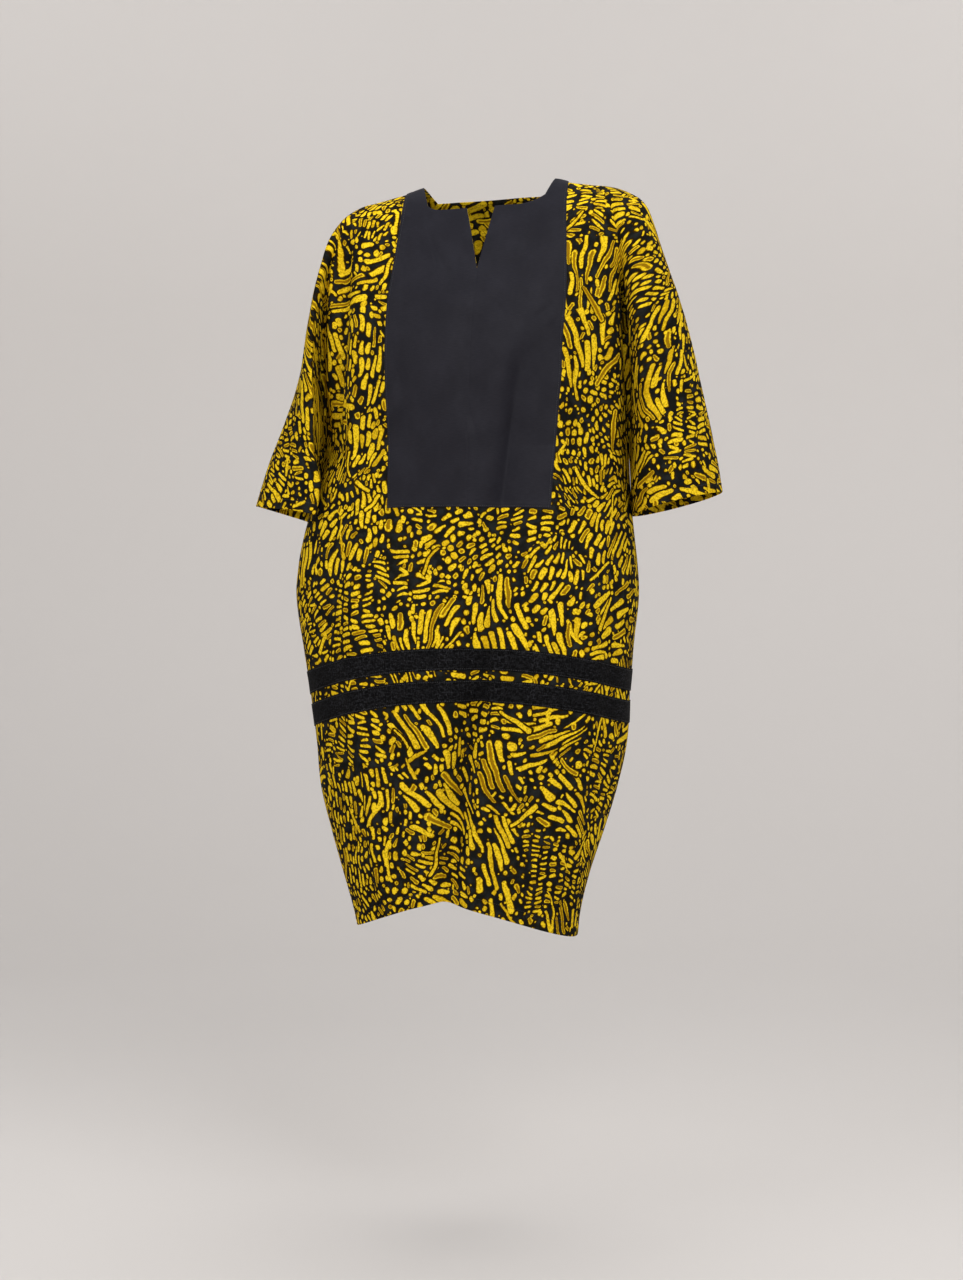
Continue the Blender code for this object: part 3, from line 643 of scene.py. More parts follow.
        clearance = SLEEVE_CLEARANCE * np.sqrt(np.minimum(1.0, drop / CLEARANCE_DROP))
        inner_x = np.where(below, body_side + side * clearance, valley(fall))
        inner_y = np.where(below, SKIRT.side_y(inner_z), self.panel.sign * self.valley_depth(fall))
        turned = np.where(below, 1.0, rounded(top_z - z, self.panel.round_over))
        x = mix(side * out_at(seam_z), inner_x, across)
        if self.panel.sign < 0:
            lean = ARM.lean_l(reach) if side < 0 else ARM.lean_r(reach)
            x = x - side * lean * np.sin(share * np.pi) ** 2
        full_y = self.panel.sign * self.arm_depth(side, reach)
        outside = mix(OVERARM.y(seam_z), full_y, np.sin(angle))
        inward = mix(inner_y, full_y, (np.sin(angle) - np.sin(wrap)) / (1.0 - np.sin(wrap)))
        y = np.where(angle <= math.pi / 2, outside, inward)
        return posed(x, mix(OVERARM.y(z), y, turned), z)

    def arm_depth(self, side: int, reach) -> np.ndarray:
        """Depth of the panel's half of an arm."""
        half = "front" if self.panel.sign < 0 else "back"
        return getattr(ARM, f"{half}_{'l' if side < 0 else 'r'}")(reach)

    def fold_height(self, places: np.ndarray, columns) -> np.ndarray:
        """How far the folds and creases move places, out from the cloth.

        Args:
            places: the places without folds.
            columns: the columns that they lie in.

        Returns:
            The heights.
        """
        x, z = places[:, 0], places[:, 2]
        height = np.zeros(len(places))
        for fold in self.panel.folds:
            height += self.large_fold(fold, x, z)
        seams = (0, self.left_fork, self.right_fork, self.last)
        steps_off = np.min([np.abs(columns - seam) for seam in seams], axis=0)
        height *= np.minimum(1.0, steps_off / SEAM_FADE_STEPS)
        for crease in self.panel.creases:
            height += self.small_crease(crease, x, z)
        return height

    @staticmethod
    def large_fold(fold: Fold, x: np.ndarray, z: np.ndarray) -> np.ndarray:
        """Height of one of the solids' folds at places seen from the front."""
        length = fold.top_z - fold.foot_z
        share = (fold.top_z - z) / length
        bend = (fold.top_z - fold.mid_z) / length
        centre = np.interp(share, (0.0, bend, 1.0), (fold.top_x, fold.mid_x, fold.foot_x))
        fade = smooth(np.minimum(share, 1.0 - share) / FOLD_FADE)
        return fold.height * fade * np.exp(-(((x - centre) / fold.width) ** 2))

    @staticmethod
    def small_crease(crease: Crease, x: np.ndarray, z: np.ndarray) -> np.ndarray:
        """Height of a small crease: its trough or ridge and a shallow shoulder on each side."""
        points = np.array(crease.points) * MM
        lengths = np.linalg.norm(np.diff(points, axis=0), axis=1)
        starts = np.concatenate([[0.0], np.cumsum(lengths)])
        nearest = np.full(len(x), 1e9)
        along = np.zeros(len(x))
        for start, end, length, before in zip(points[:-1], points[1:], lengths, starts):
            way = (end - start) / length
            t = np.clip((x - start[0]) * way[0] + (z - start[1]) * way[1], 0.0, length)
            off = np.hypot(x - start[0] - way[0] * t, z - start[1] - way[1] * t)
            closer = off < nearest
            nearest = np.where(closer, off, nearest)
            along = np.where(closer, (before + t) / starts[-1], along)
        fade = smooth(np.minimum(along, 1.0 - along) / CREASE_FADE + 0.05)
        width = crease.width * MM * mix(*CREASE_TAPER, along)
        depth, reach = CREASE_SHOULDER
        shoulder = depth * np.exp(-((nearest / (reach * width)) ** 2))
        ridge = np.exp(-((nearest / width) ** 2)) - shoulder
        pinched = np.exp(-nearest / (PINCH_WIDTH * width))
        return crease.height * MM * fade * mix(ridge, pinched, crease.pinch)


class Region(Enum):
    """The parts of a panel's grid."""

    LEFT_SLEEVE = "left sleeve"
    RIGHT_SLEEVE = "right sleeve"
    BODY = "body"
    BODY_LEFT = "body left of the neck slit"
    BODY_RIGHT = "body right of the neck slit"


SLEEVES = (Region.LEFT_SLEEVE, Region.RIGHT_SLEEVE)


@dataclass
class Patch:
    """A rectangular part of a sheet's grid: its columns and rows, and its corners' numbers."""

    region: Region
    columns: np.ndarray
    rows: np.ndarray
    index: np.ndarray = field(default_factory=lambda: np.zeros((0, 0), int))


def stations(
    lengths: Sequence[float], first: int, last: int, target: float, extra: Sequence[float] = ()
) -> np.ndarray:
    """Rows or columns of a fine grid.

    Args:
        lengths: length of each of the cut's steps.
        first: first step.
        last: last step, as a row or column of the cut.
        target: longest step of the fine grid, in metres.
        extra: distances of further ones, from the start, or from the end where negative.

    Returns:
        The rows or columns, in the cut's own count.
    """
    found = set()
    for step in range(first, last):
        parts = max(1, math.ceil(lengths[step] / target))
        found.update(round(step + part / parts, 5) for part in range(parts + 1))
    for distance in extra:
        if distance > 0:
            found.add(round(first + distance / lengths[first], 5))
        else:
            found.add(round(last + distance / lengths[last - 1], 5))
    kept = []
    fixed = {float(step) for step in range(first, last + 1)}
    for value in sorted(found):
        if kept and value - kept[-1] < CLOSEST_STATIONS and value not in fixed:
            continue
        kept.append(value)
    return np.array(kept)


def travelled(places: np.ndarray, axis: int) -> np.ndarray:
    """Distance along the cloth from the first row (axis 0) or column (axis 1) of a grid."""
    steps = np.linalg.norm(np.diff(places, axis=axis), axis=2)
    return np.insert(np.cumsum(steps, axis=axis), 0, 0.0, axis=axis)


class Sheet:
    """A welded grid of cloth: places, outward normals, faces, cut coordinates and named lines."""

    def __init__(self, cut: Cut, patches: list[Patch]) -> None:
        """Args:
        cut: the shape of the panel that the sheet follows.
        patches: the parts of the grid, left to right.
        """
        self.cut = cut
        self.patches = patches
        self.number_corners()
        smooth_places = np.concatenate([self.patch_places(p).reshape(-1, 3) for p in patches])
        columns = np.concatenate([np.tile(p.columns, len(p.rows)) for p in patches])
        self.faces = np.concatenate([self.patch_faces(p) for p in patches])
        normals = self.corner_normals(smooth_places)
        lifted = smooth_places + normals * cut.fold_height(smooth_places, columns)[:, None]
        lifted += normals * self.unevenness(smooth_places)[:, None]
        self.places = lifted
        self.normals = self.corner_normals(lifted)
        self.uv = self.flat_cut()

    def number_corners(self) -> None:
        """Gives each corner a number, the same on both sides of a join."""
        count = 0
        for patch in self.patches:
            shape = (len(patch.rows), len(patch.columns))
            patch.index = count + np.arange(shape[0] * shape[1]).reshape(shape)
            count += patch.index.size
        self.total = count
        for left, right in zip(self.patches[:-1], self.patches[1:]):
            slit = (left.region, right.region) == (Region.BODY_LEFT, Region.BODY_RIGHT)
            joined = [p.rows >= SLIT_ROW if slit else p.rows <= UNDERARM_ROW for p in (left, right)]
            if left.region is Region.LEFT_SLEEVE:
                left.index[joined[0], -1] = right.index[joined[1], 0]
            else:
                right.index[joined[1], 0] = left.index[joined[0], -1]

    def patch_places(self, patch: Patch) -> np.ndarray:
        """Places of a patch without folds, an array of rows by columns by three."""
        columns, rows = patch.columns[None, :], patch.rows[:, None]
        if patch.region is Region.LEFT_SLEEVE:
            places = self.cut.sleeve_places(-1, columns, rows)
        elif patch.region is Region.RIGHT_SLEEVE:
            places = self.cut.sleeve_places(1, columns, rows)
        else:
            side = {Region.BODY_LEFT: -1, Region.BODY_RIGHT: 1}.get(patch.region, 0)
            places = self.cut.body_places(columns, rows, side)
        places = np.array(places)
        places[..., 1] += self.cut.panel.sign * SEAM_GAP / 2
        return places

    def patch_faces(self, patch: Patch) -> np.ndarray:
        """Faces of a patch outside the neck opening, turned to look out of the dress."""
        rows, columns = len(patch.rows) - 1, len(patch.columns) - 1
        row, column = [grid.ravel() for grid in np.mgrid[0:rows, 0:columns]]
        middle_column = (patch.columns[column] + patch.columns[column + 1]) / 2
        middle_fall = self.cut.fall((patch.rows[row] + patch.rows[row + 1]) / 2)
        in_neck = (middle_column > self.cut.neck_from) & (middle_column < self.cut.neck_to)
        in_neck &= middle_fall < self.cut.panel.neck_fall
        row, column = row[~in_neck], column[~in_neck]
        corners = ((0, 0), (1, 0), (1, 1), (0, 1))
        faces = np.stack([patch.index[row + down, column + on] for down, on in corners], axis=1)
        return faces if self.cut.panel.sign < 0 else faces[:, ::-1]

    def corner_normals(self, places: np.ndarray) -> np.ndarray:
        """Outward normals at the corners.

        Args:
            places: place of each corner.

        Returns:
            Unit normals, zero at corners that no face uses.
        """
        a, b, c, d = (places[self.faces[:, i]] for i in range(4))
        across = np.cross(c - a, d - b)
        normals = np.zeros((self.total, 3))
        for i in range(4):
            np.add.at(normals, self.faces[:, i], across)
        return normals / np.maximum(np.linalg.norm(normals, axis=1, keepdims=True), 1e-12)

    def unevenness(self, places: np.ndarray) -> np.ndarray:
        """Slight waviness of cloth that hangs freely, for each place."""
        height = np.zeros(len(places))
        for across, up, shift, most in WAVES:
            points = places * (across, across, up) + (shift, 0.0, 0.0)
            height += np.array([noise.noise(Vector(point)) for point in points]) * most
        return height

    def flat_cut(self) -> np.ndarray:
        """Cut coordinates in metres: out from the centre line, and up from the underarm level."""
        uv = np.zeros((self.total, 2))
        for patch in sorted(self.patches, key=lambda p: p.region in SLEEVES):
            places = self.places[patch.index]
            start = int(np.argmin(np.abs(patch.rows - UNDERARM_ROW)))
            down, u = travelled(places, 0), travelled(places, 1)
            if patch.region is Region.LEFT_SLEEVE:
                u = u - u[:, -1:] + self.fork_u(patch, -1, uv)[:, None]
            elif patch.region is Region.RIGHT_SLEEVE:
                u = u + self.fork_u(patch, 0, uv)[:, None]
            elif patch.region is Region.BODY_LEFT:
                u = u - u[:, -1:]
            elif patch.region is Region.BODY:
                middle = int(np.argmin(np.abs(patch.columns - self.cut.centre)))
                u = u - u[:, middle : middle + 1]
            uv[patch.index, 0] = u
            uv[patch.index, 1] = down[start] - down
        return uv + (BACK_CLOTH_FROM if self.cut.panel.sign > 0 else (0.0, 0.0))

    def fork_u(self, patch: Patch, column: int, uv: np.ndarray) -> np.ndarray:
        """Where a sleeve's rows start in the cut: at the body's edge, and straight down from it."""
        edge = uv[patch.index[:, column], 0].copy()
        below = patch.rows > UNDERARM_ROW
        edge[below] = edge[~below][-1]
        return edge

    def line(
        self, region: Region, row: float | None = None, column: float | None = None
    ) -> np.ndarray:
        """Corner numbers along a row or a column.

        Args:
            region: the patch to look in.
            row: the row, if the line is one.
            column: the column, if the line is one.

        Returns:
            The corners that lie on cloth, in order.
        """
        patch = next(p for p in self.patches if p.region is region)
        if row is not None:
            corners = patch.index[int(np.argmin(np.abs(patch.rows - row)))]
        else:
            corners = patch.index[:, int(np.argmin(np.abs(patch.columns - column)))]
        used = np.zeros(self.total, bool)
        used[self.faces.ravel()] = True
        return corners[used[corners]]


def new_object(name: str, data: bpy.types.ID) -> bpy.types.Object:
    """A new object, linked to the scene."""
    made = bpy.data.objects.new(name, data)
    bpy.context.scene.collection.objects.link(made)
    return made


def shell(
    name: str, sheet: Sheet, lift: np.ndarray, thickness: np.ndarray, finish: "Finish"
) -> bpy.types.Object:
    """A closed thin shell over a sheet, with rounded edges.

    Args:
        name: name of the piece.
        sheet: the sheet that it follows.
        lift: how far its inner face lies from each corner of the sheet.
        thickness: how thick it is at each corner.
        finish: what it is made of.

    Returns:
        The piece, as a new object in the scene.
    """
    faces = sheet.faces
    used, compact = np.unique(faces, return_inverse=True)
    faces = compact.reshape(faces.shape)
    places, normals, uv = sheet.places[used], sheet.normals[used], sheet.uv[used]
    inner = places + normals * lift[used][:, None]
    outer = inner + normals * thickness[used][:, None]
    count = len(used)
    edges = np.concatenate([faces[:, [i, (i + 1) % 4]] for i in range(4)])
    keys = edges[:, 0].astype(np.int64) * count + edges[:, 1]
    opposite = edges[:, 1].astype(np.int64) * count + edges[:, 0]
    border = edges[~np.isin(keys, opposite)]
    ways = outer[border[:, 1]] - outer[border[:, 0]]
    outward = np.zeros((count, 3))
    for end in (0, 1):
        np.add.at(outward, border[:, end], np.cross(ways, normals[border[:, end]]))
    rim = np.unique(border)
    lengths = np.linalg.norm(outward[rim], axis=1, keepdims=True)
    outward[rim] /= np.maximum(lengths, 1e-12)
    rim_place = (inner[rim] + outer[rim]) / 2 + outward[rim] * thickness[used][rim][:, None] * 0.45
    rim_number = np.zeros(count, int)
    rim_number[rim] = 2 * count + np.arange(len(rim))
    a, b = border[:, 0], border[:, 1]
    upper = np.stack([b, a, rim_number[a], rim_number[b]], axis=1)
    lower = np.stack([rim_number[b], rim_number[a], a + count, b + count], axis=1)
    all_faces = np.concatenate([faces, faces[:, ::-1] + count, upper, lower])
    all_places = np.concatenate([outer, inner, rim_place])
    all_uv = np.concatenate([uv, uv, uv[rim]])
    piece = mesh_object(name, all_places, all_faces, all_uv)
    piece.data.materials.append(finish.material())
    return piece


def mesh_object(
    name: str, places: np.ndarray, faces: np.ndarray, uv: np.ndarray
) -> bpy.types.Object:
    """A smooth-shaded mesh of four-cornered faces, linked to the scene.

    Args:
        name: name of the object.
        places: place of each corner.
        faces: corner numbers of each face.
        uv: cut coordinates of each corner.

    Returns:
        The object.
    """
    mesh = bpy.data.meshes.new(name)
    mesh.vertices.add(len(places))
    mesh.vertices.foreach_set("co", places.astype(np.float32).ravel())
    mesh.loops.add(faces.size)
    mesh.loops.foreach_set("vertex_index", faces.astype(np.int32).ravel())
    mesh.polygons.add(len(faces))
    mesh.polygons.foreach_set("loop_start", np.arange(0, faces.size, 4, dtype=np.int32))
    mesh.polygons.foreach_set("loop_total", np.full(len(faces), 4, np.int32))
    mesh.update(calc_edges=True)
    layer = mesh.uv_layers.new(name=UV_NAME)
    layer.data.foreach_set("uv", uv[faces.ravel()].astype(np.float32).ravel())
    mesh.validate()
    mesh.shade_smooth()
    return new_object(name, mesh)


Number = Union["Value", float]


def operator(operation: str, reflected: bool = False) -> Callable[..., "Value"]:
    """A method that puts a number and others through a Math node, swapped where `reflected`."""

    def method(self: "Value", *others: Number) -> "Value":
        """The node's number."""
        values = (*others, self) if reflected else (self, *others)
        return self.shader.math(operation, *values)

    return method


@dataclass(frozen=True)
class Value:
    """A number in a shader, with the usual arithmetic and its reflected forms."""

    shader: "Shader"
    socket: bpy.types.NodeSocket

    __add__, __radd__ = operator("ADD"), operator("ADD", True)
    __sub__, __rsub__ = operator("SUBTRACT"), operator("SUBTRACT", True)
    __mul__, __rmul__ = operator("MULTIPLY"), operator("MULTIPLY", True)
    __truediv__, __rtruediv__ = operator("DIVIDE"), operator("DIVIDE", True)
    __pow__, __abs__ = operator("POWER"), operator("ABSOLUTE")
    least, most, above = operator("MINIMUM"), operator("MAXIMUM"), operator("GREATER_THAN")

    def math(self, operation: str, *others: Number) -> "Value":
        """This number and others put through a Math node."""
        return self.shader.math(operation, self, *others)

    def ramp(self, start: float, end: float) -> "Value":
        """0 before `start`, 1 after `end`, eased between."""
        return self.shader.ramp(self, start, end)


class Cells(NamedTuple):
    """What a cell pattern gives at a point: distance to the cell's centre, and its facts."""

    distance: Value
    red: Value
    green: Value
    blue: Value
    x: Value
    y: Value


class Graph:
    """A node tree to which nodes are added one at a time."""

    def __init__(self, tree: bpy.types.NodeTree) -> None:
        """Args:
        tree: the tree.
        """
        self.tree = tree

    def node(self, kind: str, settings: dict | None = None, **inputs) -> bpy.types.Node:
        """Any node.

        Args:
            kind: its type.
            settings: its options, which are set first.
            inputs: values or links, by the input's name with _ for a space, or i and its number.

        Returns:
            The node.
        """
        node = self.tree.nodes.new(kind)
        for key, value in (settings or {}).items():
            setattr(node, key, value)
        for key, value in inputs.items():
            numbered = key[0] == "i" and key[1:].isdigit()
            self.feed(node.inputs[int(key[1:]) if numbered else key.replace("_", " ")], value)
        return node

    def feed(self, socket: bpy.types.NodeSocket, value) -> None:
        """Puts a value or a link into a socket."""
        source = value.socket if isinstance(value, Value) else value
        if isinstance(source, bpy.types.NodeSocket):
            self.tree.links.new(source, socket)
        else:
            socket.default_value = source


class Shader(Graph):
    """The node tree of one material, written as plain sums."""

    def __init__(self, name: str) -> None:
        """Args:
        name: name of the material.
        """
        self.made = bpy.data.materials.new(name)
        self.made.use_nodes = True
        super().__init__(self.made.node_tree)
        self.surface = self.tree.nodes["Principled BSDF"]

    def value(self, kind: str, settings: dict, **inputs) -> Value:
        """The number that a new node gives."""
        return Value(self, self.node(kind, settings, **inputs).outputs[0])

    def math(self, operation: str, *values: Number) -> Value:
        """A Math node."""
        inputs = {f"i{place}": value for place, value in enumerate(values)}
        return self.value("ShaderNodeMath", {"operation": operation}, **inputs)

    def ramp(self, value: Number, start: float, end: float) -> Value:
        """An eased step from 0 at `start` to 1 at `end`."""
        inputs = {"i0": value, "i1": start, "i2": end, "i3": 0.0, "i4": 1.0}
        return self.value("ShaderNodeMapRange", {"interpolation_type": "SMOOTHSTEP"}, **inputs)

    def mix(self, share: Number, a: Number, b: Number) -> Value:
        """The number `share` of the way from a to b."""
        return self.value("ShaderNodeMix", {"data_type": "FLOAT"}, i0=share, i2=a, i3=b)

    def blend(self, share: Number, a, b) -> bpy.types.NodeSocket:
        """The colour `share` of the way from a to b."""
        settings = {"data_type": "RGBA"}
        node = self.node("ShaderNodeMix", settings, i0=share, i6=self.colour(a), i7=self.colour(b))
        return node.outputs[2]

    @staticmethod
    def colour(value):
        """A colour as a socket takes it."""
        return (*value, 1.0) if isinstance(value, tuple) and len(value) == 3 else value

    def vector(self, x: Number, y: Number, z: Number = 0.0) -> bpy.types.NodeSocket:
        """A vector from its parts."""
        return self.node("ShaderNodeCombineXYZ", i0=x, i1=y, i2=z).outputs[0]

    def parts(self, vector: bpy.types.NodeSocket) -> tuple[Value, Value, Value]:
        """The parts of a vector or colour."""
        node = self.node("ShaderNodeSeparateXYZ", i0=vector)
        return tuple(Value(self, socket) for socket in node.outputs)

    def cut(self) -> tuple[Value, Value]:
        """Cut coordinates in centimetres: across and up."""
        node = self.node("ShaderNodeUVMap", {"uv_map": UV_NAME})
        u, v, _ = self.parts(node.outputs[0])
        return u * 100.0, v * 100.0

    def noise(
        self, x: Number, y: Number, size: float, detail: float = 2.0, shift: float = 0.0
    ) -> Value:
        """Soft noise, about 0 to 1, with lumps about `size` across."""
        inputs = {"Vector": self.vector(x, y, shift), "Scale": 1.0 / size, "Detail": detail}
        return self.value("ShaderNodeTexNoise", {"noise_dimensions": "3D"}, **inputs)

    def chance(self, x: Number, y: Number, z: Number = 0.0) -> tuple[Value, Value, Value]:
        """Three random numbers for each different vector."""
        settings = {"noise_dimensions": "3D"}
        node = self.node("ShaderNodeTexWhiteNoise", settings, Vector=self.vector(x, y, z))
        return self.parts(node.outputs["Color"])

    def voronoi(
        self, feature: str, x: Number, y: Number, size: float, randomness: float
    ) -> bpy.types.Node:
        """A flat pattern of cells about `size` across."""
        settings = {"voronoi_dimensions": "2D", "feature": feature}
        inputs = {"Vector": self.vector(x, y), "Scale": 1.0 / size, "Randomness": randomness}
        return self.node("ShaderNodeTexVoronoi", settings, **inputs)

    def cells(self, x: Number, y: Number, size: float, randomness: float) -> Cells:
        """The nearest centre of a pattern of cells."""
        node = self.voronoi("F1", x, y, size, randomness)
        red, green, blue = self.parts(node.outputs["Color"])
        centre_x, centre_y, _ = self.parts(node.outputs["Position"])
        distance = Value(self, node.outputs["Distance"]) * size
        return Cells(distance, red, green, blue, centre_x, centre_y)

    def cell_edge(self, x: Number, y: Number, size: float, randomness: float) -> Value:
        """Distance to the edge of the cell."""
        node = self.voronoi("DISTANCE_TO_EDGE", x, y, size, randomness)
        return Value(self, node.outputs["Distance"]) * size

    def bump(self, height: Value, strength: float) -> None:
        """Raises the surface by a height in metres."""
        node = self.node("ShaderNodeBump", Strength=strength, Distance=1.0, Height=height)
        self.tree.links.new(node.outputs[0], self.surface.inputs["Normal"])

    def set(self, **values) -> None:
        """Values or links for the surface's own sockets."""
        for key, value in values.items():
            self.feed(self.surface.inputs[key.replace("_", " ")], self.colour(value))


@dataclass(frozen=True)
class Finish:
    """What a piece is made of."""

    name: str
    slot: str

    def material(self) -> bpy.types.Material:
        """The material, made when it is first asked for."""
        known = bpy.data.materials.get(self.name)
        if known:
            return known
        shader = Shader(self.name)
        self.dress(shader)
        return shader.made

    def dress(self, shader: Shader) -> None:
        """Builds the nodes."""
        raise NotImplementedError

    @staticmethod
    def weave(shader: Shader, x: Value, y: Value, pitch: float) -> Value:
        """Height of a plain weave, 0 to 1, with threads `pitch` centimetres apart."""
        turn = math.tau / (2.0 * pitch)
        over = (x * turn).math("SINE") * (y * turn).math("SINE")
        across = (x * (2.0 * turn)).math("COSINE")
        down = (y * (2.0 * turn)).math("COSINE")
        return shader.mix(over.ramp(-0.35, 0.35), across, down) * 0.5 + 0.5


class Stroke(NamedTuple):
    """The stroke nearest to a point: how far its edge is, and what kind of stroke it is."""

    distance: Value
    core: Value
    kind: Value
    tone: Value


@dataclass(frozen=True)
class PrintedCotton(Finish):
    """Wax-resist cotton: bars, dashes and ovals of yellow with brown rims on a charcoal ground.

    Lengths are in centimetres of cloth, colours in linear light.
    """

    patch: float = 10.5
    patch_randomness: float = 0.95
    warp: float = 1.7
    bend: float = 0.07
    fan: float = 0.15
    row_pitch: tuple[float, float] = (0.86, 1.26)
    shortest: float = 1.55
    longest: float = 7.6
    widest: float = 0.47
    rung_step: float = 0.72
    tilt: float = 0.55
    gap: float = 0.18
    reach: float = 1.25
    stray_pitch: float = 8.5
    stray_from: tuple[float, float] = (31.7, 11.3)
    dot_pitch: float = 1.06
    ground: Colour = (0.0082, 0.0084, 0.0070)
    ground_pale: Colour = (0.0182, 0.0196, 0.0190)
    halo: Colour = (0.0200, 0.0100, 0.0008)
    brown: Colour = (0.090, 0.042, 0.001)
    russet: Colour = (0.220, 0.105, 0.002)
    ochre: Colour = (0.38, 0.230, 0.004)
    deep: Colour = (0.66, 0.400, 0.006)
    yellow: Colour = (0.86, 0.588, 0.016)

    def dress(self, shader: Shader) -> None:
        """Builds the print, the weave and the soft surface."""
        flat_x, flat_y = shader.cut()
        x = flat_x + (shader.noise(flat_x, flat_y, 4.2, 1.0) - 0.5) * self.warp
        y = flat_y + (shader.noise(flat_x, flat_y, 4.2, 1.0, 9.0) - 0.5) * self.warp
        wobble = (shader.noise(flat_x, flat_y, 0.42, 2.0, 3.0) - 0.5) * 0.24
        fuller = (shader.noise(flat_x, flat_y, 5.5, 1.0, 21.0) - 0.5) * 0.18 + flat_y * 0.0004
        strokes = self.strokes(shader, x, y)
        nearest = self.nearer(shader, strokes, self.dots(shader, x, y))
        depth = fuller - nearest.distance - wobble
        self.paint(shader, flat_x, flat_y, nearest._replace(distance=depth))

    @staticmethod
    def nearer(shader: Shader, one: Stroke, other: Stroke) -> Stroke:
        """Whichever of two strokes is nearer."""
        second = (one.distance - other.distance).above(0.0)
        parts = [shader.mix(second, a, b) for a, b in zip(one[1:], other[1:])]
        return Stroke(one.distance.least(other.distance), *parts)

    @staticmethod
    def turned(across: Value, up: Value, angle: Value) -> tuple[Value, Value, Value, Value]:
        """How far along and beside a direction a point lies, with its cosine and sine."""
        cosine, sine = angle.math("COSINE"), angle.math("SINE")
        return across * cosine + up * sine, up * cosine - across * sine, cosine, sine

    def strokes(self, shader: Shader, x: Value, y: Value) -> Stroke:
        """Bars and dashes with the loose strokes that run across them."""
        bars = self.bars(shader, x, y)
        strays, apart = self.strays(shader, x, y)
        cut_back = bars.distance.most(apart - strays.distance)
        return self.nearer(shader, bars._replace(distance=cut_back), strays)

    def strays(self, shader: Shader, x: Value, y: Value) -> tuple[Stroke, Value]:
        """Loose longer strokes that lie across the rows.

        Args:
            shader: the material.
            x: across the cloth.
            y: up the cloth.

        Returns:
            The nearest such stroke, and how far the others keep away from it, negative where they
            run into it.
        """
        x, y = x + self.stray_from[0], y + self.stray_from[1]
        cells = shader.cells(x, y, self.stray_pitch, 0.9)
        edge = shader.cell_edge(cells.x, cells.y, self.stray_pitch, 0.9)
        angle = (cells.red - 0.5) * 2.1 + math.pi / 2
        along, beside, _, _ = self.turned(x - cells.x, y - cells.y, angle)
        kind, tone, wide = shader.chance(cells.red * 71.0, cells.green * 13.0)
        off = beside + along * along * (cells.blue - 0.5) * 0.14
        radius = wide * 0.20 + 0.20
        half = (cells.green * 2.0 + 1.7).least(edge)
        end = (abs(along) - half + radius).most(0.0)
        taper = (along / half * (tone - 0.5) * 0.9 + 1.0).least(1.15)
        distance = (end * end + off * off).math("SQRT") - radius * taper
        gone = kind.above(0.80) * 3.0
        apart = (kind.above(0.38) * 3.0 - 2.0 + self.gap).least(self.gap)
        core = abs(off) / radius + end / radius
        return Stroke(distance + gone, core, wide, tone), apart

    def bars(self, shader: Shader, x: Value, y: Value) -> Stroke:
        """The nearest bar or dash, in patches of rows that fan and bend.

        Args:
            shader: the material.
            x: across the cloth.
            y: up the cloth.

        Returns:
            The stroke, its distance less than 0 inside it.
        """
        patch = shader.cells(x, y, self.patch, self.patch_randomness)
        turn = patch.red * 2.0 - 1.0
        angle = turn * (abs(turn) * 1.25 + 0.22) + math.pi / 2
        along_patch, beside, cosine, sine = self.turned(x - patch.x, y - patch.y, angle)
        bend = (patch.green - 0.5) * self.bend
        spread_rate = (patch.blue - 0.35) * self.fan
        spread = (along_patch * spread_rate + 1.0).most(0.5)
        side = beside + along_patch * along_patch * bend
        scale, phase, thickness = shader.chance(patch.red * 31.7, patch.green * 17.3)
        rungs = shader.chance(patch.green * 23.9, patch.blue * 47.1)[0].above(0.83)
        pitch_share = scale * 0.6 + thickness * 0.4
        plain_pitch = pitch_share * (self.row_pitch[1] - self.row_pitch[0]) + self.row_pitch[0]
        pitch = plain_pitch * (rungs * (thickness * 0.7 + 0.6) + 1.0)
        row_count = side / (spread * pitch) + phase * 7.0
        row = row_count.math("FLOOR")
        off_row = (row_count - row - 0.5) * pitch * spread
        stretch, slide, _ = shader.chance(row, patch.red * 97.0, patch.green * 53.0)
        typical = (scale**1.1) * (self.longest - self.shortest) + self.shortest
        long_step = typical * (stretch * stretch * 0.95 + 0.70)
        length = shader.mix(rungs, long_step, stretch * 0.25 + self.rung_step)
        dash_count = along_patch / length + slide * 9.0
        dash = dash_count.math("FLOOR")
        along = (dash_count - dash - 0.5) * length
        short, thin, taper = shader.chance(dash, row + patch.blue * 41.0, patch.red * 61.0)
        kind, tone, drift = shader.chance(dash + 13.0, row + patch.green * 29.0, patch.blue * 37.0)
        centre_along = along_patch - along
        centre_spread = (centre_along * spread_rate + 1.0).most(0.5)
        bent = centre_along * centre_along * bend
        centre_side = (row + 0.5 - phase * 7.0) * pitch * centre_spread - bent
        centre_x = patch.x + centre_along * cosine - centre_side * sine
        centre_y = patch.y + centre_along * sine + centre_side * cosine
        home = shader.cells(centre_x, centre_y, self.patch, self.patch_randomness)
        strayed = abs(home.red - patch.red).above(0.002)
        edge = shader.cell_edge(centre_x, centre_y, self.patch, self.patch_randomness)
        clear = edge * self.reach - self.gap * 0.5
        room = pitch * spread * 0.5 - self.gap * 0.5
        widest = rungs * 0.9 + self.widest
        wide = room.least(widest).least(clear) * (thin * 0.36 + 0.66)
        half = (length * 0.5 - self.gap * 0.5 - short * length * 0.12).least(clear)
        radius = wide.least(half)
        tilt = (taper - 0.5) * self.tilt / half.most(0.5)
        centred = off_row + (drift - 0.5) * 1.7 * (room - wide)
        off = centred - along * tilt
        along_end = (abs(along + off_row * tilt) - (half - radius)).most(0.0)
        off_end = (abs(off) - (wide - radius)).most(0.0)
        tapered = radius * (along / half * (taper - 0.5) * 1.25 + 1.0).least(1.18)
        reach = (along_end * along_end + off_end * off_end).math("SQRT")
        gone = (0.09 - radius).above(0.0)
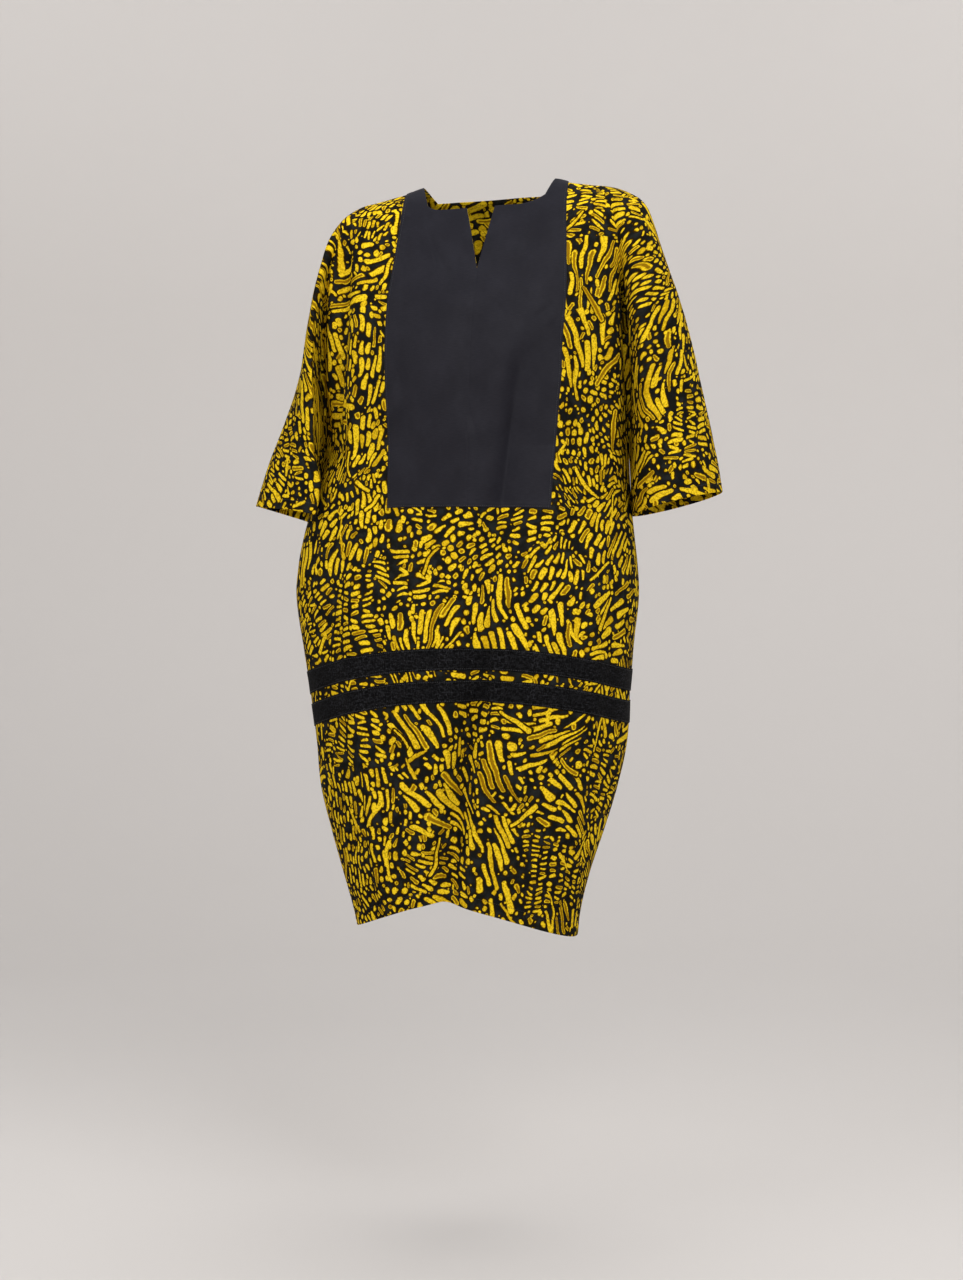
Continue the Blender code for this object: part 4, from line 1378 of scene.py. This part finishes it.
        return Stroke(reach - tapered + strayed + gone, reach / radius, kind, tone)

    def dots(self, shader: Shader, x: Value, y: Value) -> Stroke:
        """Short ovals and dots that fill what the bars leave, each as large as fits.

        Args:
            shader: the material.
            x: across the cloth.
            y: up the cloth.

        Returns:
            The stroke.
        """
        cells = shader.cells(x, y, self.dot_pitch, 0.75)
        edge = shader.cell_edge(cells.x, cells.y, self.patch, self.patch_randomness)
        nearest = self.strokes(shader, cells.x, cells.y).distance
        room = (nearest - self.gap * 0.8).least(edge + 0.14)
        radius = (cells.red * 0.15 + 0.22).least(room)
        angle = cells.green * 1.9 + 0.6
        along, off, _, _ = self.turned(x - cells.x, y - cells.y, angle)
        half = (room - radius).least(cells.blue * 0.42).most(0.0)
        end = (abs(along) - half).most(0.0)
        gone = (0.12 - radius).above(0.0)
        reach = (end * end + off * off).math("SQRT")
        return Stroke(reach - radius + gone, reach / radius, cells.blue, cells.green)

    def paint(self, shader: Shader, x: Value, y: Value, stroke: Stroke) -> None:
        """Colours from how deep a point lies inside a stroke.

        Args:
            shader: the material.
            x: across the cloth.
            y: up the cloth.
            stroke: the stroke, its distance larger than 0 inside it.
        """
        depth = stroke.distance
        blotch = shader.noise(x, y, 0.40, 3.0, 5.0)
        speck = shader.noise(x, y, 0.16, 2.0, 7.0)
        fade = shader.noise(x, y, 9.0, 2.0, 11.0)
        cloudy = shader.noise(x, y, 1.6, 4.0, 2.0).ramp(0.42, 0.72)
        ground = shader.blend(cloudy, self.ground, self.ground_pale)
        stained = shader.blend(depth.ramp(-0.20, -0.06), ground, self.halo)
        rim = shader.blend(depth.ramp(-0.055, 0.020), stained, self.brown)
        body = shader.blend(depth.ramp(-0.005, 0.050), rim, self.ochre)
        light = (depth + (blotch - 0.5) * 0.24).ramp(0.025, 0.100)
        strength = (stroke.tone + (fade - 0.5) * 0.2 + (blotch - 0.5) * 0.9).ramp(-0.15, 0.34)
        hue = shader.blend(strength, self.deep, self.yellow)
        washed = shader.noise(x, y, 0.26, 2.0, 15.0).ramp(0.46, 0.66) * 0.75
        inside = shader.blend(washed, hue, self.ochre)
        bright = shader.blend(light * (strength * 0.25 + 0.75), body, inside)
        marked = stroke.kind.above(0.76) * (0.26 + blotch * 0.6 - stroke.core).ramp(-0.04, 0.20)
        eye = shader.blend(marked * depth.ramp(0.06, 0.12) * 0.9, bright, self.russet)
        specks = speck.ramp(0.61, 0.70) * depth.ramp(0.0, 0.05) * 0.5
        speckled = shader.blend(specks, eye, self.brown)
        weave = self.weave(shader, x, y, 0.055)
        threads = shader.noise(x * 0.25, y, 0.09, 1.0, 1.0) * 0.20 + weave * 0.14
        shade = shader.node("ShaderNodeHueSaturation", Value=threads * 0.62 + 0.89, Color=speckled)
        shader.set(
            Base_Color=shade.outputs[0],
            Roughness=0.86,
            Specular_IOR_Level=0.02,
        )
        shader.bump(weave * (0.05 * MM) + blotch * (0.05 * MM), 0.8)


@dataclass(frozen=True)
class PlainCotton(Finish):
    """Smooth, closely woven black cotton."""

    dark: Colour = (0.0102, 0.0098, 0.0140)
    pale: Colour = (0.0160, 0.0155, 0.0212)

    def dress(self, shader: Shader) -> None:
        """Builds a fine weave with faint cloudiness and lint."""
        x, y = shader.cut()
        cloud = shader.noise(x, y, 4.0, 3.0, 1.0)
        slub = shader.noise(x * 0.12, y, 0.10, 2.0, 3.0)
        weave = self.weave(shader, x, y, 0.042)
        shade = (cloud * 0.5 + slub * 0.5).ramp(0.35, 0.70)
        lint = shader.noise(x, y, 0.11, 1.0, 8.0).ramp(0.80, 0.86) * 0.5
        base = shader.blend(shade, self.dark, self.pale)
        dusty = shader.blend(lint, base, (0.11, 0.11, 0.12))
        shader.set(
            Base_Color=dusty,
            Roughness=weave * 0.10 + 0.58,
            Specular_IOR_Level=0.12,
        )
        shader.bump(weave * (0.035 * MM) + slub * (0.05 * MM), 0.8)


@dataclass(frozen=True)
class Trimming(Finish):
    """Matt black woven trimming with a mottled, open grain."""

    # painted shade: near black for the hollows between the yarns
    hollow: Colour = (0.0006, 0.0006, 0.0006)
    yarn: Colour = (0.0060, 0.0060, 0.0066)
    # wear and a painted highlight on the tops of the raised yarns
    worn: Colour = (0.0235, 0.0238, 0.0275)
    lint: Colour = (0.0900, 0.0900, 0.1000)

    def dress(self, shader: Shader) -> None:
        """Builds the ribs, the small motifs worked into them, painted shade in the hollows between,
        and a painted highlight with some wear on the raised yarns.
        """
        x, y = shader.cut()
        wander = (shader.noise(x, y, 0.9, 2.0) - 0.5) * 0.12
        rib = ((x + wander) * (math.tau / 0.15)).math("SINE") * 0.5 + 0.5
        strand = (y * (math.tau / 0.21)).math("SINE") * 0.5 + 0.5
        motif = shader.cells(x, y * 1.1, 0.78, 0.5)
        petals = (motif.distance * (math.tau / 0.40) + motif.red * 1.5).math("COSINE") * 0.5 + 0.5
        weft = shader.noise(x * 0.35, y, 0.17, 2.0, 4.0).ramp(0.34, 0.66)
        warp = shader.noise(x, y * 0.35, 0.17, 2.0, 9.0).ramp(0.34, 0.66)
        worked = petals * 0.24 + weft * 0.42 + warp * 0.34
        raised = worked + (rib * (strand * 0.4 + 0.6) - 0.5) * 0.35
        cloud = shader.noise(x, y, 3.2, 2.0, 6.0).ramp(0.38, 0.66)
        # painted shade: the low parts of the yarn height are coloured near black
        base = shader.blend(raised.ramp(0.15, 0.65), self.hollow, self.yarn)
        # painted highlight, with some wear: the high parts of the yarn height turn paler, mottled by
        # the cloud
        lit = shader.blend(raised.ramp(0.45, 1.0) * (cloud * 0.65 + 0.25), base, self.worn)
        speck = shader.noise(x, y, 0.22, 1.0, 12.0).ramp(0.74, 0.82) * 0.6
        dusty = shader.blend(speck, lit, self.lint)
        shader.set(Base_Color=dusty, Roughness=0.9, Specular_IOR_Level=0.08)
        shader.bump(raised * (0.40 * MM), 0.9)


@dataclass(frozen=True)
class Thread(Finish):
    """Sewing thread."""

    shade: Colour = (0.012, 0.012, 0.013)
    glint: Colour = (0.045, 0.045, 0.048)

    def dress(self, shader: Shader) -> None:
        """Builds a slight variation of shade along the thread."""
        place = shader.node("ShaderNodeTexCoord").outputs["Object"]
        x, y, z = shader.parts(place)
        shift = shader.noise(x * 100.0 + z * 60.0, y * 100.0, 0.06, 2.0)
        shader.set(
            Base_Color=shader.blend(shift.ramp(0.35, 0.75), self.shade, self.glint),
            Roughness=0.62,
            Specular_IOR_Level=0.4,
        )


@dataclass(frozen=True)
class Backdrop(Finish):
    """Plain pale paper."""

    paper: Colour = (0.64, 0.612, 0.590)
    shade: Colour = (0.615, 0.588, 0.566)

    def dress(self, shader: Shader) -> None:
        """Builds an even pale surface with the faintest cloudiness."""
        place = shader.node("ShaderNodeTexCoord").outputs["Object"]
        x, y, _ = shader.parts(place)
        cloud = shader.noise(x, y, 1.3, 2.0)
        shader.set(Base_Color=shader.blend(cloud, self.paper, self.shade), Roughness=0.95)


PRINT = PrintedCotton("wax_printed_cotton", "printed_cotton")
PLAIN = PlainCotton("plain_black_cotton", "black_cotton")
TRIM = Trimming("woven_black_trimming", "black_trimming")
BLACK_THREAD = Thread("black_thread", "black_trimming")
PAPER = Backdrop("pale_paper", "")


class Edge(Enum):
    """An edge of a patch."""

    TOP = "top"
    FOOT = "foot"
    LEFT = "left"
    RIGHT = "right"


def edge_distance(sheet: Sheet, edges: dict[Region, Sequence[Edge]]) -> np.ndarray:
    """Distance of each corner of a sheet from some of its edges, along the cloth.

    Args:
        sheet: the sheet.
        edges: the edges to measure from, by region.

    Returns:
        The distances, 1 m for corners of other regions.
    """
    distance = np.ones(sheet.total)
    for patch in sheet.patches:
        places = sheet.places[patch.index]
        rows, columns = travelled(places, 0), travelled(places, 1)
        found = {
            Edge.TOP: rows,
            Edge.FOOT: rows[-1:] - rows,
            Edge.LEFT: columns,
            Edge.RIGHT: columns[:, -1:] - columns,
        }
        for edge in edges.get(patch.region, ()):
            np.minimum.at(distance, patch.index, found[edge])
    return distance


def groove(distance: np.ndarray, at: float, width: float) -> np.ndarray:
    """1 at a distance from an edge, falling to 0 within about `width` of it."""
    return np.exp(-(((distance - at) / width) ** 2))


def hem_lines(depth: float) -> tuple[float, ...]:
    """Extra rows for a turned edge: close to its fold, and on both sides of its stitches."""
    return (-0.8 * MM, -2.5 * MM, 1.5 * MM - depth, -depth, -1.5 * MM - depth)


@dataclass
class StitchLine:
    """A line of stitches: its places and outward normals."""

    places: np.ndarray
    normals: np.ndarray


@dataclass
class Piece:
    """Common to all sewn pieces: the finished objects and the lines that are stitched."""

    stitch_lines: list[StitchLine] = field(default_factory=list)

    def wear(self, piece: bpy.types.Object, finish: Finish, *nodes: str) -> bpy.types.Object:
        """Lets a piece stand for its solids.

        Args:
            piece: the object.
            finish: its finish; not used.
            nodes: names of the solids.

        Returns:
            The object.
        """
        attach(piece, "root")
        if nodes:
            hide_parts(*nodes)
        faces = piece.data.polygons
        area = sum(face.area for face in faces) / 2
        log.info("%s: %d faces, %.4f square metres of cloth", piece.name, len(faces), area)
        return piece

    def stitch(self, sheet: Sheet, corners: np.ndarray, height: np.ndarray) -> None:
        """Marks a line of corners to be stitched.

        Args:
            sheet: the sheet that they are on.
            corners: their numbers.
            height: height of the outer face over the sheet, by corner.
        """
        normals = sheet.normals[corners]
        places = sheet.places[corners] + normals * height[corners][:, None]
        self.stitch_lines.append(StitchLine(places, normals))


@dataclass
class PrintedPanel(Piece):
    """Front or back of printed cotton, cut in one with its halves of the sleeves."""

    panel: Panel = FRONT
    grid: float = 5.0 * MM
    hem: float = 18.0 * MM
    cuff_hem: float = 15.0 * MM
    flat: tuple[float, float] = (1.0, 1.12)
    column_lengths: tuple[float, float] = (22.0 * MM, 21.0 * MM)

    def lengths(self) -> list[float]:
        """Length of each row step of the cut."""
        down = [FALL_LENGTH * (b - a) for a, b in zip(FALLS, FALLS[1:])]
        return down + [a - b for a, b in zip(SIDE_HEIGHTS, SIDE_HEIGHTS[1:])]

    def patches(self, cut: Cut) -> list[Patch]:
        """The parts of the panel's grid."""
        rows = self.lengths()
        body_rows = stations(rows, 0, HEM_ROW, self.grid, hem_lines(self.hem))
        cuff_lengths = rows[:UNDERARM_ROW] + [CUFF_STEP] * CUFF_STEPS
        sleeve_rows = stations(cuff_lengths, 0, CUFF_ROW, self.grid, hem_lines(self.cuff_hem))
        body, sleeve = self.column_lengths
        columns = [sleeve] * SLEEVE_STEPS + [body] * cut.body_steps + [sleeve] * SLEEVE_STEPS
        spans = [(Region.LEFT_SLEEVE, 0, cut.left_fork, sleeve_rows)]
        if self.panel.slit:
            middle = int(cut.centre)
            spans.append((Region.BODY_LEFT, cut.left_fork, middle, body_rows))
            spans.append((Region.BODY_RIGHT, middle, cut.right_fork, body_rows))
        else:
            spans.append((Region.BODY, cut.left_fork, cut.right_fork, body_rows))
        spans.append((Region.RIGHT_SLEEVE, cut.right_fork, cut.last, sleeve_rows))
        return [
            Patch(region, stations(columns, first, last, self.grid, SEAM_LINES), patch_rows)
            for region, first, last, patch_rows in spans
        ]

    def build(self) -> bpy.types.Object:
        """The panel with its turned hem and cuffs and its seams drawn in.

        Returns:
            The piece.
        """
        cut = Cut(self.panel)
        sheet = Sheet(cut, self.patches(cut))
        body = [p.region for p in sheet.patches if p.region not in SLEEVES]
        edges = (
            (body, self.hem, HEM_ROW - self.hem / self.lengths()[-1]),
            (SLEEVES, self.cuff_hem, CUFF_ROW - self.cuff_hem / CUFF_STEP),
        )
        turned, sewn = np.zeros(sheet.total), np.zeros(sheet.total)
        for regions, depth, _ in edges:
            distance = edge_distance(sheet, {region: [Edge.FOOT] for region in regions})
            turned += smooth((depth - distance) / (2.5 * MM))
            sewn += groove(distance, depth, 1.8 * MM)
        seams = {Region.LEFT_SLEEVE: [Edge.LEFT], Region.RIGHT_SLEEVE: [Edge.RIGHT]}
        seams |= {region: [Edge.TOP] for region in body}
        drawn = groove(edge_distance(sheet, seams), 0.0, 2.2 * MM)
        lift = SHEET_LIFT - turned * 0.45 * MM - drawn * 0.25 * MM
        outer = SHEET_LIFT + SHEET_THICKNESS + turned * 0.10 * MM
        outer = outer - sewn * 0.30 * MM - drawn * 0.45 * MM
        piece = shell(f"{self.panel.name}_cloth", sheet, lift, outer - lift, PRINT)
        self.wear(piece, PRINT, self.panel.name)
        for regions, _, row in edges:
            for region in regions:
                self.stitch(sheet, sheet.line(region, row=row), outer)
        log.info("%s cut: %s", self.panel.name, np.ptp(sheet.uv, axis=0).round(3))
        width, length = self.flat
        return piece


@dataclass
class Bib(Piece):
    """The plain rectangle on the chest, with the neck edge and its slit."""

    grid: float = 3.6 * MM
    lift: float = 1.55 * MM
    thickness: float = 0.55 * MM
    turning: float = 8.5 * MM
    edge_stitch: float = 2.0 * MM
    top_row: float = 0.7
    flat: tuple[float, float] = (0.25, 0.50)

    def build(self) -> bpy.types.Object:
        """The bib, thicker where its edges are turned under.

        Returns:
            The piece.
        """
        cut = Cut(FRONT)
        first = cut.neck_from - 1
        last = cut.neck_to + 1
        foot = UNDERARM_ROW + SIDE_HEIGHTS.index(BIB_FOOT)
        row_lengths = PrintedPanel(panel=FRONT).lengths()
        columns = [20.0 * MM] * int(cut.last)
        stitch = self.edge_stitch
        edges = (0.7 * MM, stitch, -0.7 * MM, -stitch, self.turning, -self.turning)
        rows = stations(row_lengths, 0, foot, self.grid, (-0.7 * MM, -stitch, -self.turning))
        rows = np.append(self.top_row, rows[rows > self.top_row])
        middle = int(cut.centre)
        left = Patch(Region.BODY_LEFT, stations(columns, first, middle, self.grid, edges), rows)
        right = Patch(Region.BODY_RIGHT, stations(columns, middle, last, self.grid, edges), rows)
        sheet = Sheet(cut, [left, right])
        sides = {Region.BODY_LEFT: [Edge.LEFT, Edge.FOOT]}
        sides[Region.BODY_RIGHT] = [Edge.RIGHT, Edge.FOOT]
        from_edge = edge_distance(sheet, sides)
        turned = smooth((self.turning - from_edge) / (2.0 * MM))
        sewn = groove(from_edge, stitch, 1.3 * MM)
        middle_edges = {Region.BODY_LEFT: [Edge.RIGHT], Region.BODY_RIGHT: [Edge.LEFT]}
        pressed = groove(edge_distance(sheet, middle_edges), 0.0, 1.2 * MM)
        lift = np.full(sheet.total, self.lift)
        outer = self.lift + self.thickness + turned * 0.35 * MM
        outer = outer - sewn * 0.28 * MM - pressed * 0.30 * MM
        piece = shell("bib_cloth", sheet, lift, outer - lift, PLAIN)
        self.wear(piece, PLAIN, "bib")
        self.stitch(sheet, sheet.line(Region.BODY_LEFT, column=first + stitch / columns[0]), outer)
        self.stitch(sheet, sheet.line(Region.BODY_RIGHT, column=last - stitch / columns[0]), outer)
        foot_row = foot - stitch / row_lengths[foot - 1]
        for region in (Region.BODY_LEFT, Region.BODY_RIGHT):
            self.stitch(sheet, sheet.line(region, row=foot_row), outer)
        log.info("bib cut: %s", np.ptp(sheet.uv, axis=0).round(3))
        return piece


@dataclass
class HipBand(Piece):
    """One length of trimming on one panel."""

    panel: Panel = FRONT
    level: str = "upper"
    heights: tuple[float, float] = UPPER_BAND
    grid: float = 5.0 * MM
    lift: float = 1.50 * MM
    thickness: float = 0.95 * MM
    edge_stitch: float = 1.7 * MM
    length: float = 0.70

    def build(self) -> bpy.types.Object:
        """The band, firmer at both edges.

        Returns:
            The piece.
        """
        cut = Cut(self.panel)
        top, foot = (UNDERARM_ROW + SIDE_HEIGHTS.index(z) for z in self.heights)
        rows_length = PrintedPanel(panel=self.panel).lengths()
        stitch = self.edge_stitch
        rows = stations(rows_length, top, foot, 3.0 * MM, (0.6 * MM, stitch, -0.6 * MM, -stitch))
        lengths = [22.0 * MM] * int(cut.last)
        columns = stations(lengths, cut.left_fork, cut.right_fork, self.grid, (0.8 * MM, -0.8 * MM))
        sheet = Sheet(cut, [Patch(Region.BODY, columns, rows)])
        from_edge = edge_distance(sheet, {Region.BODY: [Edge.TOP, Edge.FOOT]})
        sewn = groove(from_edge, stitch, 1.2 * MM)
        lift = np.full(sheet.total, self.lift)
        firm = groove(from_edge, 0.0, 3.5 * MM)
        outer = self.lift + self.thickness + firm * 0.25 * MM - sewn * 0.35 * MM
        node = f"{self.level}_band_{self.panel.name}"
        piece = shell(f"{node}_trim", sheet, lift, outer - lift, TRIM)
        self.wear(piece, TRIM, node)
        span = rows_length[top]
        for row in (top + stitch / span, foot - stitch / span):
            self.stitch(sheet, sheet.line(Region.BODY, row=row), outer)
        log.info("%s cut: %s", piece.name, np.ptp(sheet.uv, axis=0).round(3))
        return piece


@dataclass
class Stitching:
    """All lines of stitches, laid by one Geometry Nodes tree."""

    pitch: float = 3.1 * MM
    length: float = 2.5 * MM
    radius: float = 0.30 * MM
    seed: int = 7

    def guide(self, lines: Sequence[StitchLine]) -> bpy.types.Object:
        """A curve object with one spline for each line."""
        curve = bpy.data.curves.new("stitch_lines", "CURVE")
        curve.dimensions = "3D"
        for line in lines:
            places = line.places + line.normals * 0.05 * MM
            spline = curve.splines.new("POLY")
            spline.points.add(len(places) - 1)
            flat = np.concatenate([places, np.ones((len(places), 1))], axis=1)
            spline.points.foreach_set("co", flat.astype(np.float32).ravel())
        return new_object("stitch_lines", curve)

    def tree(self, finish: Finish) -> bpy.types.NodeTree:
        """The tree: even points along each line, a small stitch on each, a slight disorder."""
        tree = bpy.data.node_groups.new("stitches", "GeometryNodeTree")
        face = tree.interface
        face.new_socket("Geometry", in_out="INPUT", socket_type="NodeSocketGeometry")
        for name in ("Pitch", "Length", "Radius"):
            face.new_socket(name, in_out="INPUT", socket_type="NodeSocketFloat")
        face.new_socket("Geometry", in_out="OUTPUT", socket_type="NodeSocketGeometry")
        graph = Graph(tree)
        entry = graph.node("NodeGroupInput").outputs
        inputs = {"Curve": entry["Geometry"], "Length": entry["Pitch"]}
        even = graph.node("GeometryNodeResampleCurve", {"mode": "LENGTH"}, **inputs)
        tangent = graph.node("GeometryNodeInputTangent").outputs[0]
        align = graph.node("FunctionNodeAlignRotationToVector", {"axis": "X"}, Vector=tangent)
        bead = graph.node("GeometryNodeMeshUVSphere", Segments=6, Rings=4, Radius=1.0)
        half = graph.node("ShaderNodeMath", {"operation": "MULTIPLY"}, i0=entry["Length"], i1=0.5)
        thick = entry["Radius"]
        size = graph.node("ShaderNodeCombineXYZ", i0=half.outputs[0], i1=thick, i2=thick)
        spread = graph.node("FunctionNodeRandomValue", {"data_type": "FLOAT"}, i2=0.85, i3=1.12)
        spread.inputs["Seed"].default_value = self.seed
        inputs = {"i0": size.outputs[0], "Scale": spread.outputs[1]}
        scale = graph.node("ShaderNodeVectorMath", {"operation": "SCALE"}, **inputs)
        inputs = {"Points": even, "Instance": bead, "Rotation": align, "Scale": scale}
        inputs = {name: node.outputs[0] for name, node in inputs.items()}
        place = graph.node("GeometryNodeInstanceOnPoints", **inputs)
        whole = graph.node("GeometryNodeRealizeInstances", i0=place.outputs[0]).outputs[0]
        dress = graph.node("GeometryNodeSetMaterial", i0=whole, Material=finish.material())
        graph.node("NodeGroupOutput", i0=dress.outputs[0])
        return tree

    def build(self, lines: Sequence[StitchLine], finish: Finish) -> bpy.types.Object:
        """The stitches as one plain mesh.

        Args:
            lines: where they run.
            finish: the thread.

        Returns:
            The piece.
        """
        guide = self.guide(lines)
        tree = self.tree(finish)
        modifier = guide.modifiers.new("stitches", "NODES")
        sizes = {"Pitch": self.pitch, "Length": self.length, "Radius": self.radius}
        modifier.node_group = tree
        for item in tree.interface.items_tree:
            if item.in_out == "INPUT" and item.name in sizes:
                modifier[item.identifier] = sizes[item.name]
        bpy.context.view_layer.update()
        graph = bpy.context.evaluated_depsgraph_get()
        mesh = bpy.data.meshes.new_from_object(guide.evaluated_get(graph))
        guide.modifiers.remove(modifier)
        bpy.data.objects.remove(guide)
        mesh.name = "stitching"
        mesh.shade_smooth()
        piece = new_object("stitching", mesh)
        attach(piece, "root")
        log.info("stitching: %d faces", len(mesh.polygons))
        return piece


@dataclass
class Studio:
    """Pale floor with an all-round wall, soft lights and the camera."""

    floor_z: float = -1.49
    flat_radius: float = 2.5
    wall_radius: float = 5.4
    wall_height: float = 4.2
    camera_place: tuple[float, float, float] = (0.3371, -2.850, -0.65)
    camera_turn: float = 7.0
    lens: float = 56.59

    def build_floor(self) -> None:
        """The floor and its wall in one seamless turned form."""
        profile = [(0.001, 0.0), (self.flat_radius * 0.5, 0.0), (self.flat_radius, 0.0)]
        steps = 20
        reach, rise = self.wall_radius - self.flat_radius, 2.2
        for step in range(1, steps + 1):
            angle = step / steps * math.pi / 2
            run, climb = reach * math.sin(angle), rise * (1 - math.cos(angle))
            profile.append((self.flat_radius + run, climb))
        profile.append((self.wall_radius, self.wall_height + 2.0))
        turns = 96
        places, faces = [], []
        for turn in range(turns):
            way = math.tau * turn / turns
            places += [(r * math.cos(way), r * math.sin(way), self.floor_z + z) for r, z in profile]
        count = len(profile)
        for turn in range(turns):
            following = (turn + 1) % turns
            for step in range(count - 1):
                a, b = turn * count + step, turn * count + step + 1
                c, d = following * count + step + 1, following * count + step
                faces.append((a, b, c, d))
        faces.append(tuple(turn * count for turn in range(turns)))
        mesh = bpy.data.meshes.new("studio_floor")
        mesh.from_pydata(places, [], faces)
        mesh.shade_smooth()
        mesh.materials.append(PAPER.material())
        floor = new_object("studio_floor", mesh)
        floor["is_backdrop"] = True

    def light(
        self, name: str, place: tuple, aim: tuple, size: float, watts: float, glossy: bool = True
    ) -> None:
        """A large soft lamp.

        Args:
            name: its name.
            place: where it hangs.
            aim: what it faces.
            size: its side.
            watts: its strength.
            glossy: whether a smooth surface mirrors it.
        """
        lamp = bpy.data.lights.new(name, "AREA")
        lamp.shape = "SQUARE"
        lamp.size = size
        lamp.energy = watts
        item = new_object(name, lamp)
        item.location = place
        item.visible_glossy = glossy
        way = Vector(aim) - Vector(place)
        item.rotation_euler = way.to_track_quat("-Z", "Y").to_euler()

    def build_lights(self) -> None:
        """Key from the right and above, a broad fill, light from above, lamps for the wall."""
        dress = (0.0, 0.0, -0.55)
        self.light("key", (1.6, -2.6, 1.4), dress, 2.0, 60.0)
        self.light("fill", (-2.4, -2.2, 1.1), dress, 2.4, 35.0)
        self.light("front", (0.3, -3.7, 1.2), dress, 2.6, 38.0)
        self.light("top", (0.1, 0.35, 2.7), (0.0, 0.0, -1.5), 2.8, 72.0, glossy=False)
        self.light("wall_left", (-2.0, 2.2, 3.0), (-0.6, 5.4, 3.0), 2.4, 42.0)
        self.light("wall_right", (2.4, 2.2, 3.0), (1.6, 5.4, 3.0), 2.4, 58.0)
        world = bpy.data.worlds.new("studio_air")
        world.use_nodes = True
        shade = world.node_tree.nodes["Background"]
        shade.inputs[0].default_value = (0.92, 0.95, 1.0, 1.0)
        shade.inputs[1].default_value = 0.40
        bpy.context.scene.world = world

    def build_camera(self) -> None:
        """The camera, level, a little to the right of the middle."""
        data = bpy.data.cameras.new("camera")
        data.lens = self.lens
        data.sensor_fit = "VERTICAL"
        data.sensor_height = 36.0
        data.sensor_width = 36.0
        data.shift_x = 0.0005
        camera = new_object("camera", data)
        camera.location = self.camera_place
        camera.rotation_euler = (math.radians(90.0), 0.0, math.radians(self.camera_turn))
        bpy.context.scene.camera = camera
        bpy.context.scene.view_settings.view_transform = "Standard"


def main() -> None:
    """Builds the dress, the stage, the lights and the camera."""
    logging.basicConfig(level=logging.INFO, format="%(name)s: %(message)s")
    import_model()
    solid_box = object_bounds()
    studio = Studio()
    studio.build_camera()
    pieces: list[Piece] = []
    for panel in (FRONT, BACK):
        pieces.append(PrintedPanel(panel=panel))
        pieces.append(HipBand(panel=panel, level="upper", heights=UPPER_BAND))
        pieces.append(HipBand(panel=panel, level="lower", heights=LOWER_BAND))
    pieces.append(Bib())
    for piece in pieces:
        piece.build()
    lines = [line for piece in pieces for line in piece.stitch_lines]
    Stitching().build(lines, BLACK_THREAD)
    studio.build_floor()
    studio.build_lights()
    seen_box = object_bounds()
    boxes = {
        "cad": [list(corner) for corner in solid_box],
        "visual": [list(corner) for corner in seen_box],
    }
    log.info("box of the solids %s, of the dress %s", boxes["cad"], boxes["visual"])


if __name__ == "__main__":
    main()
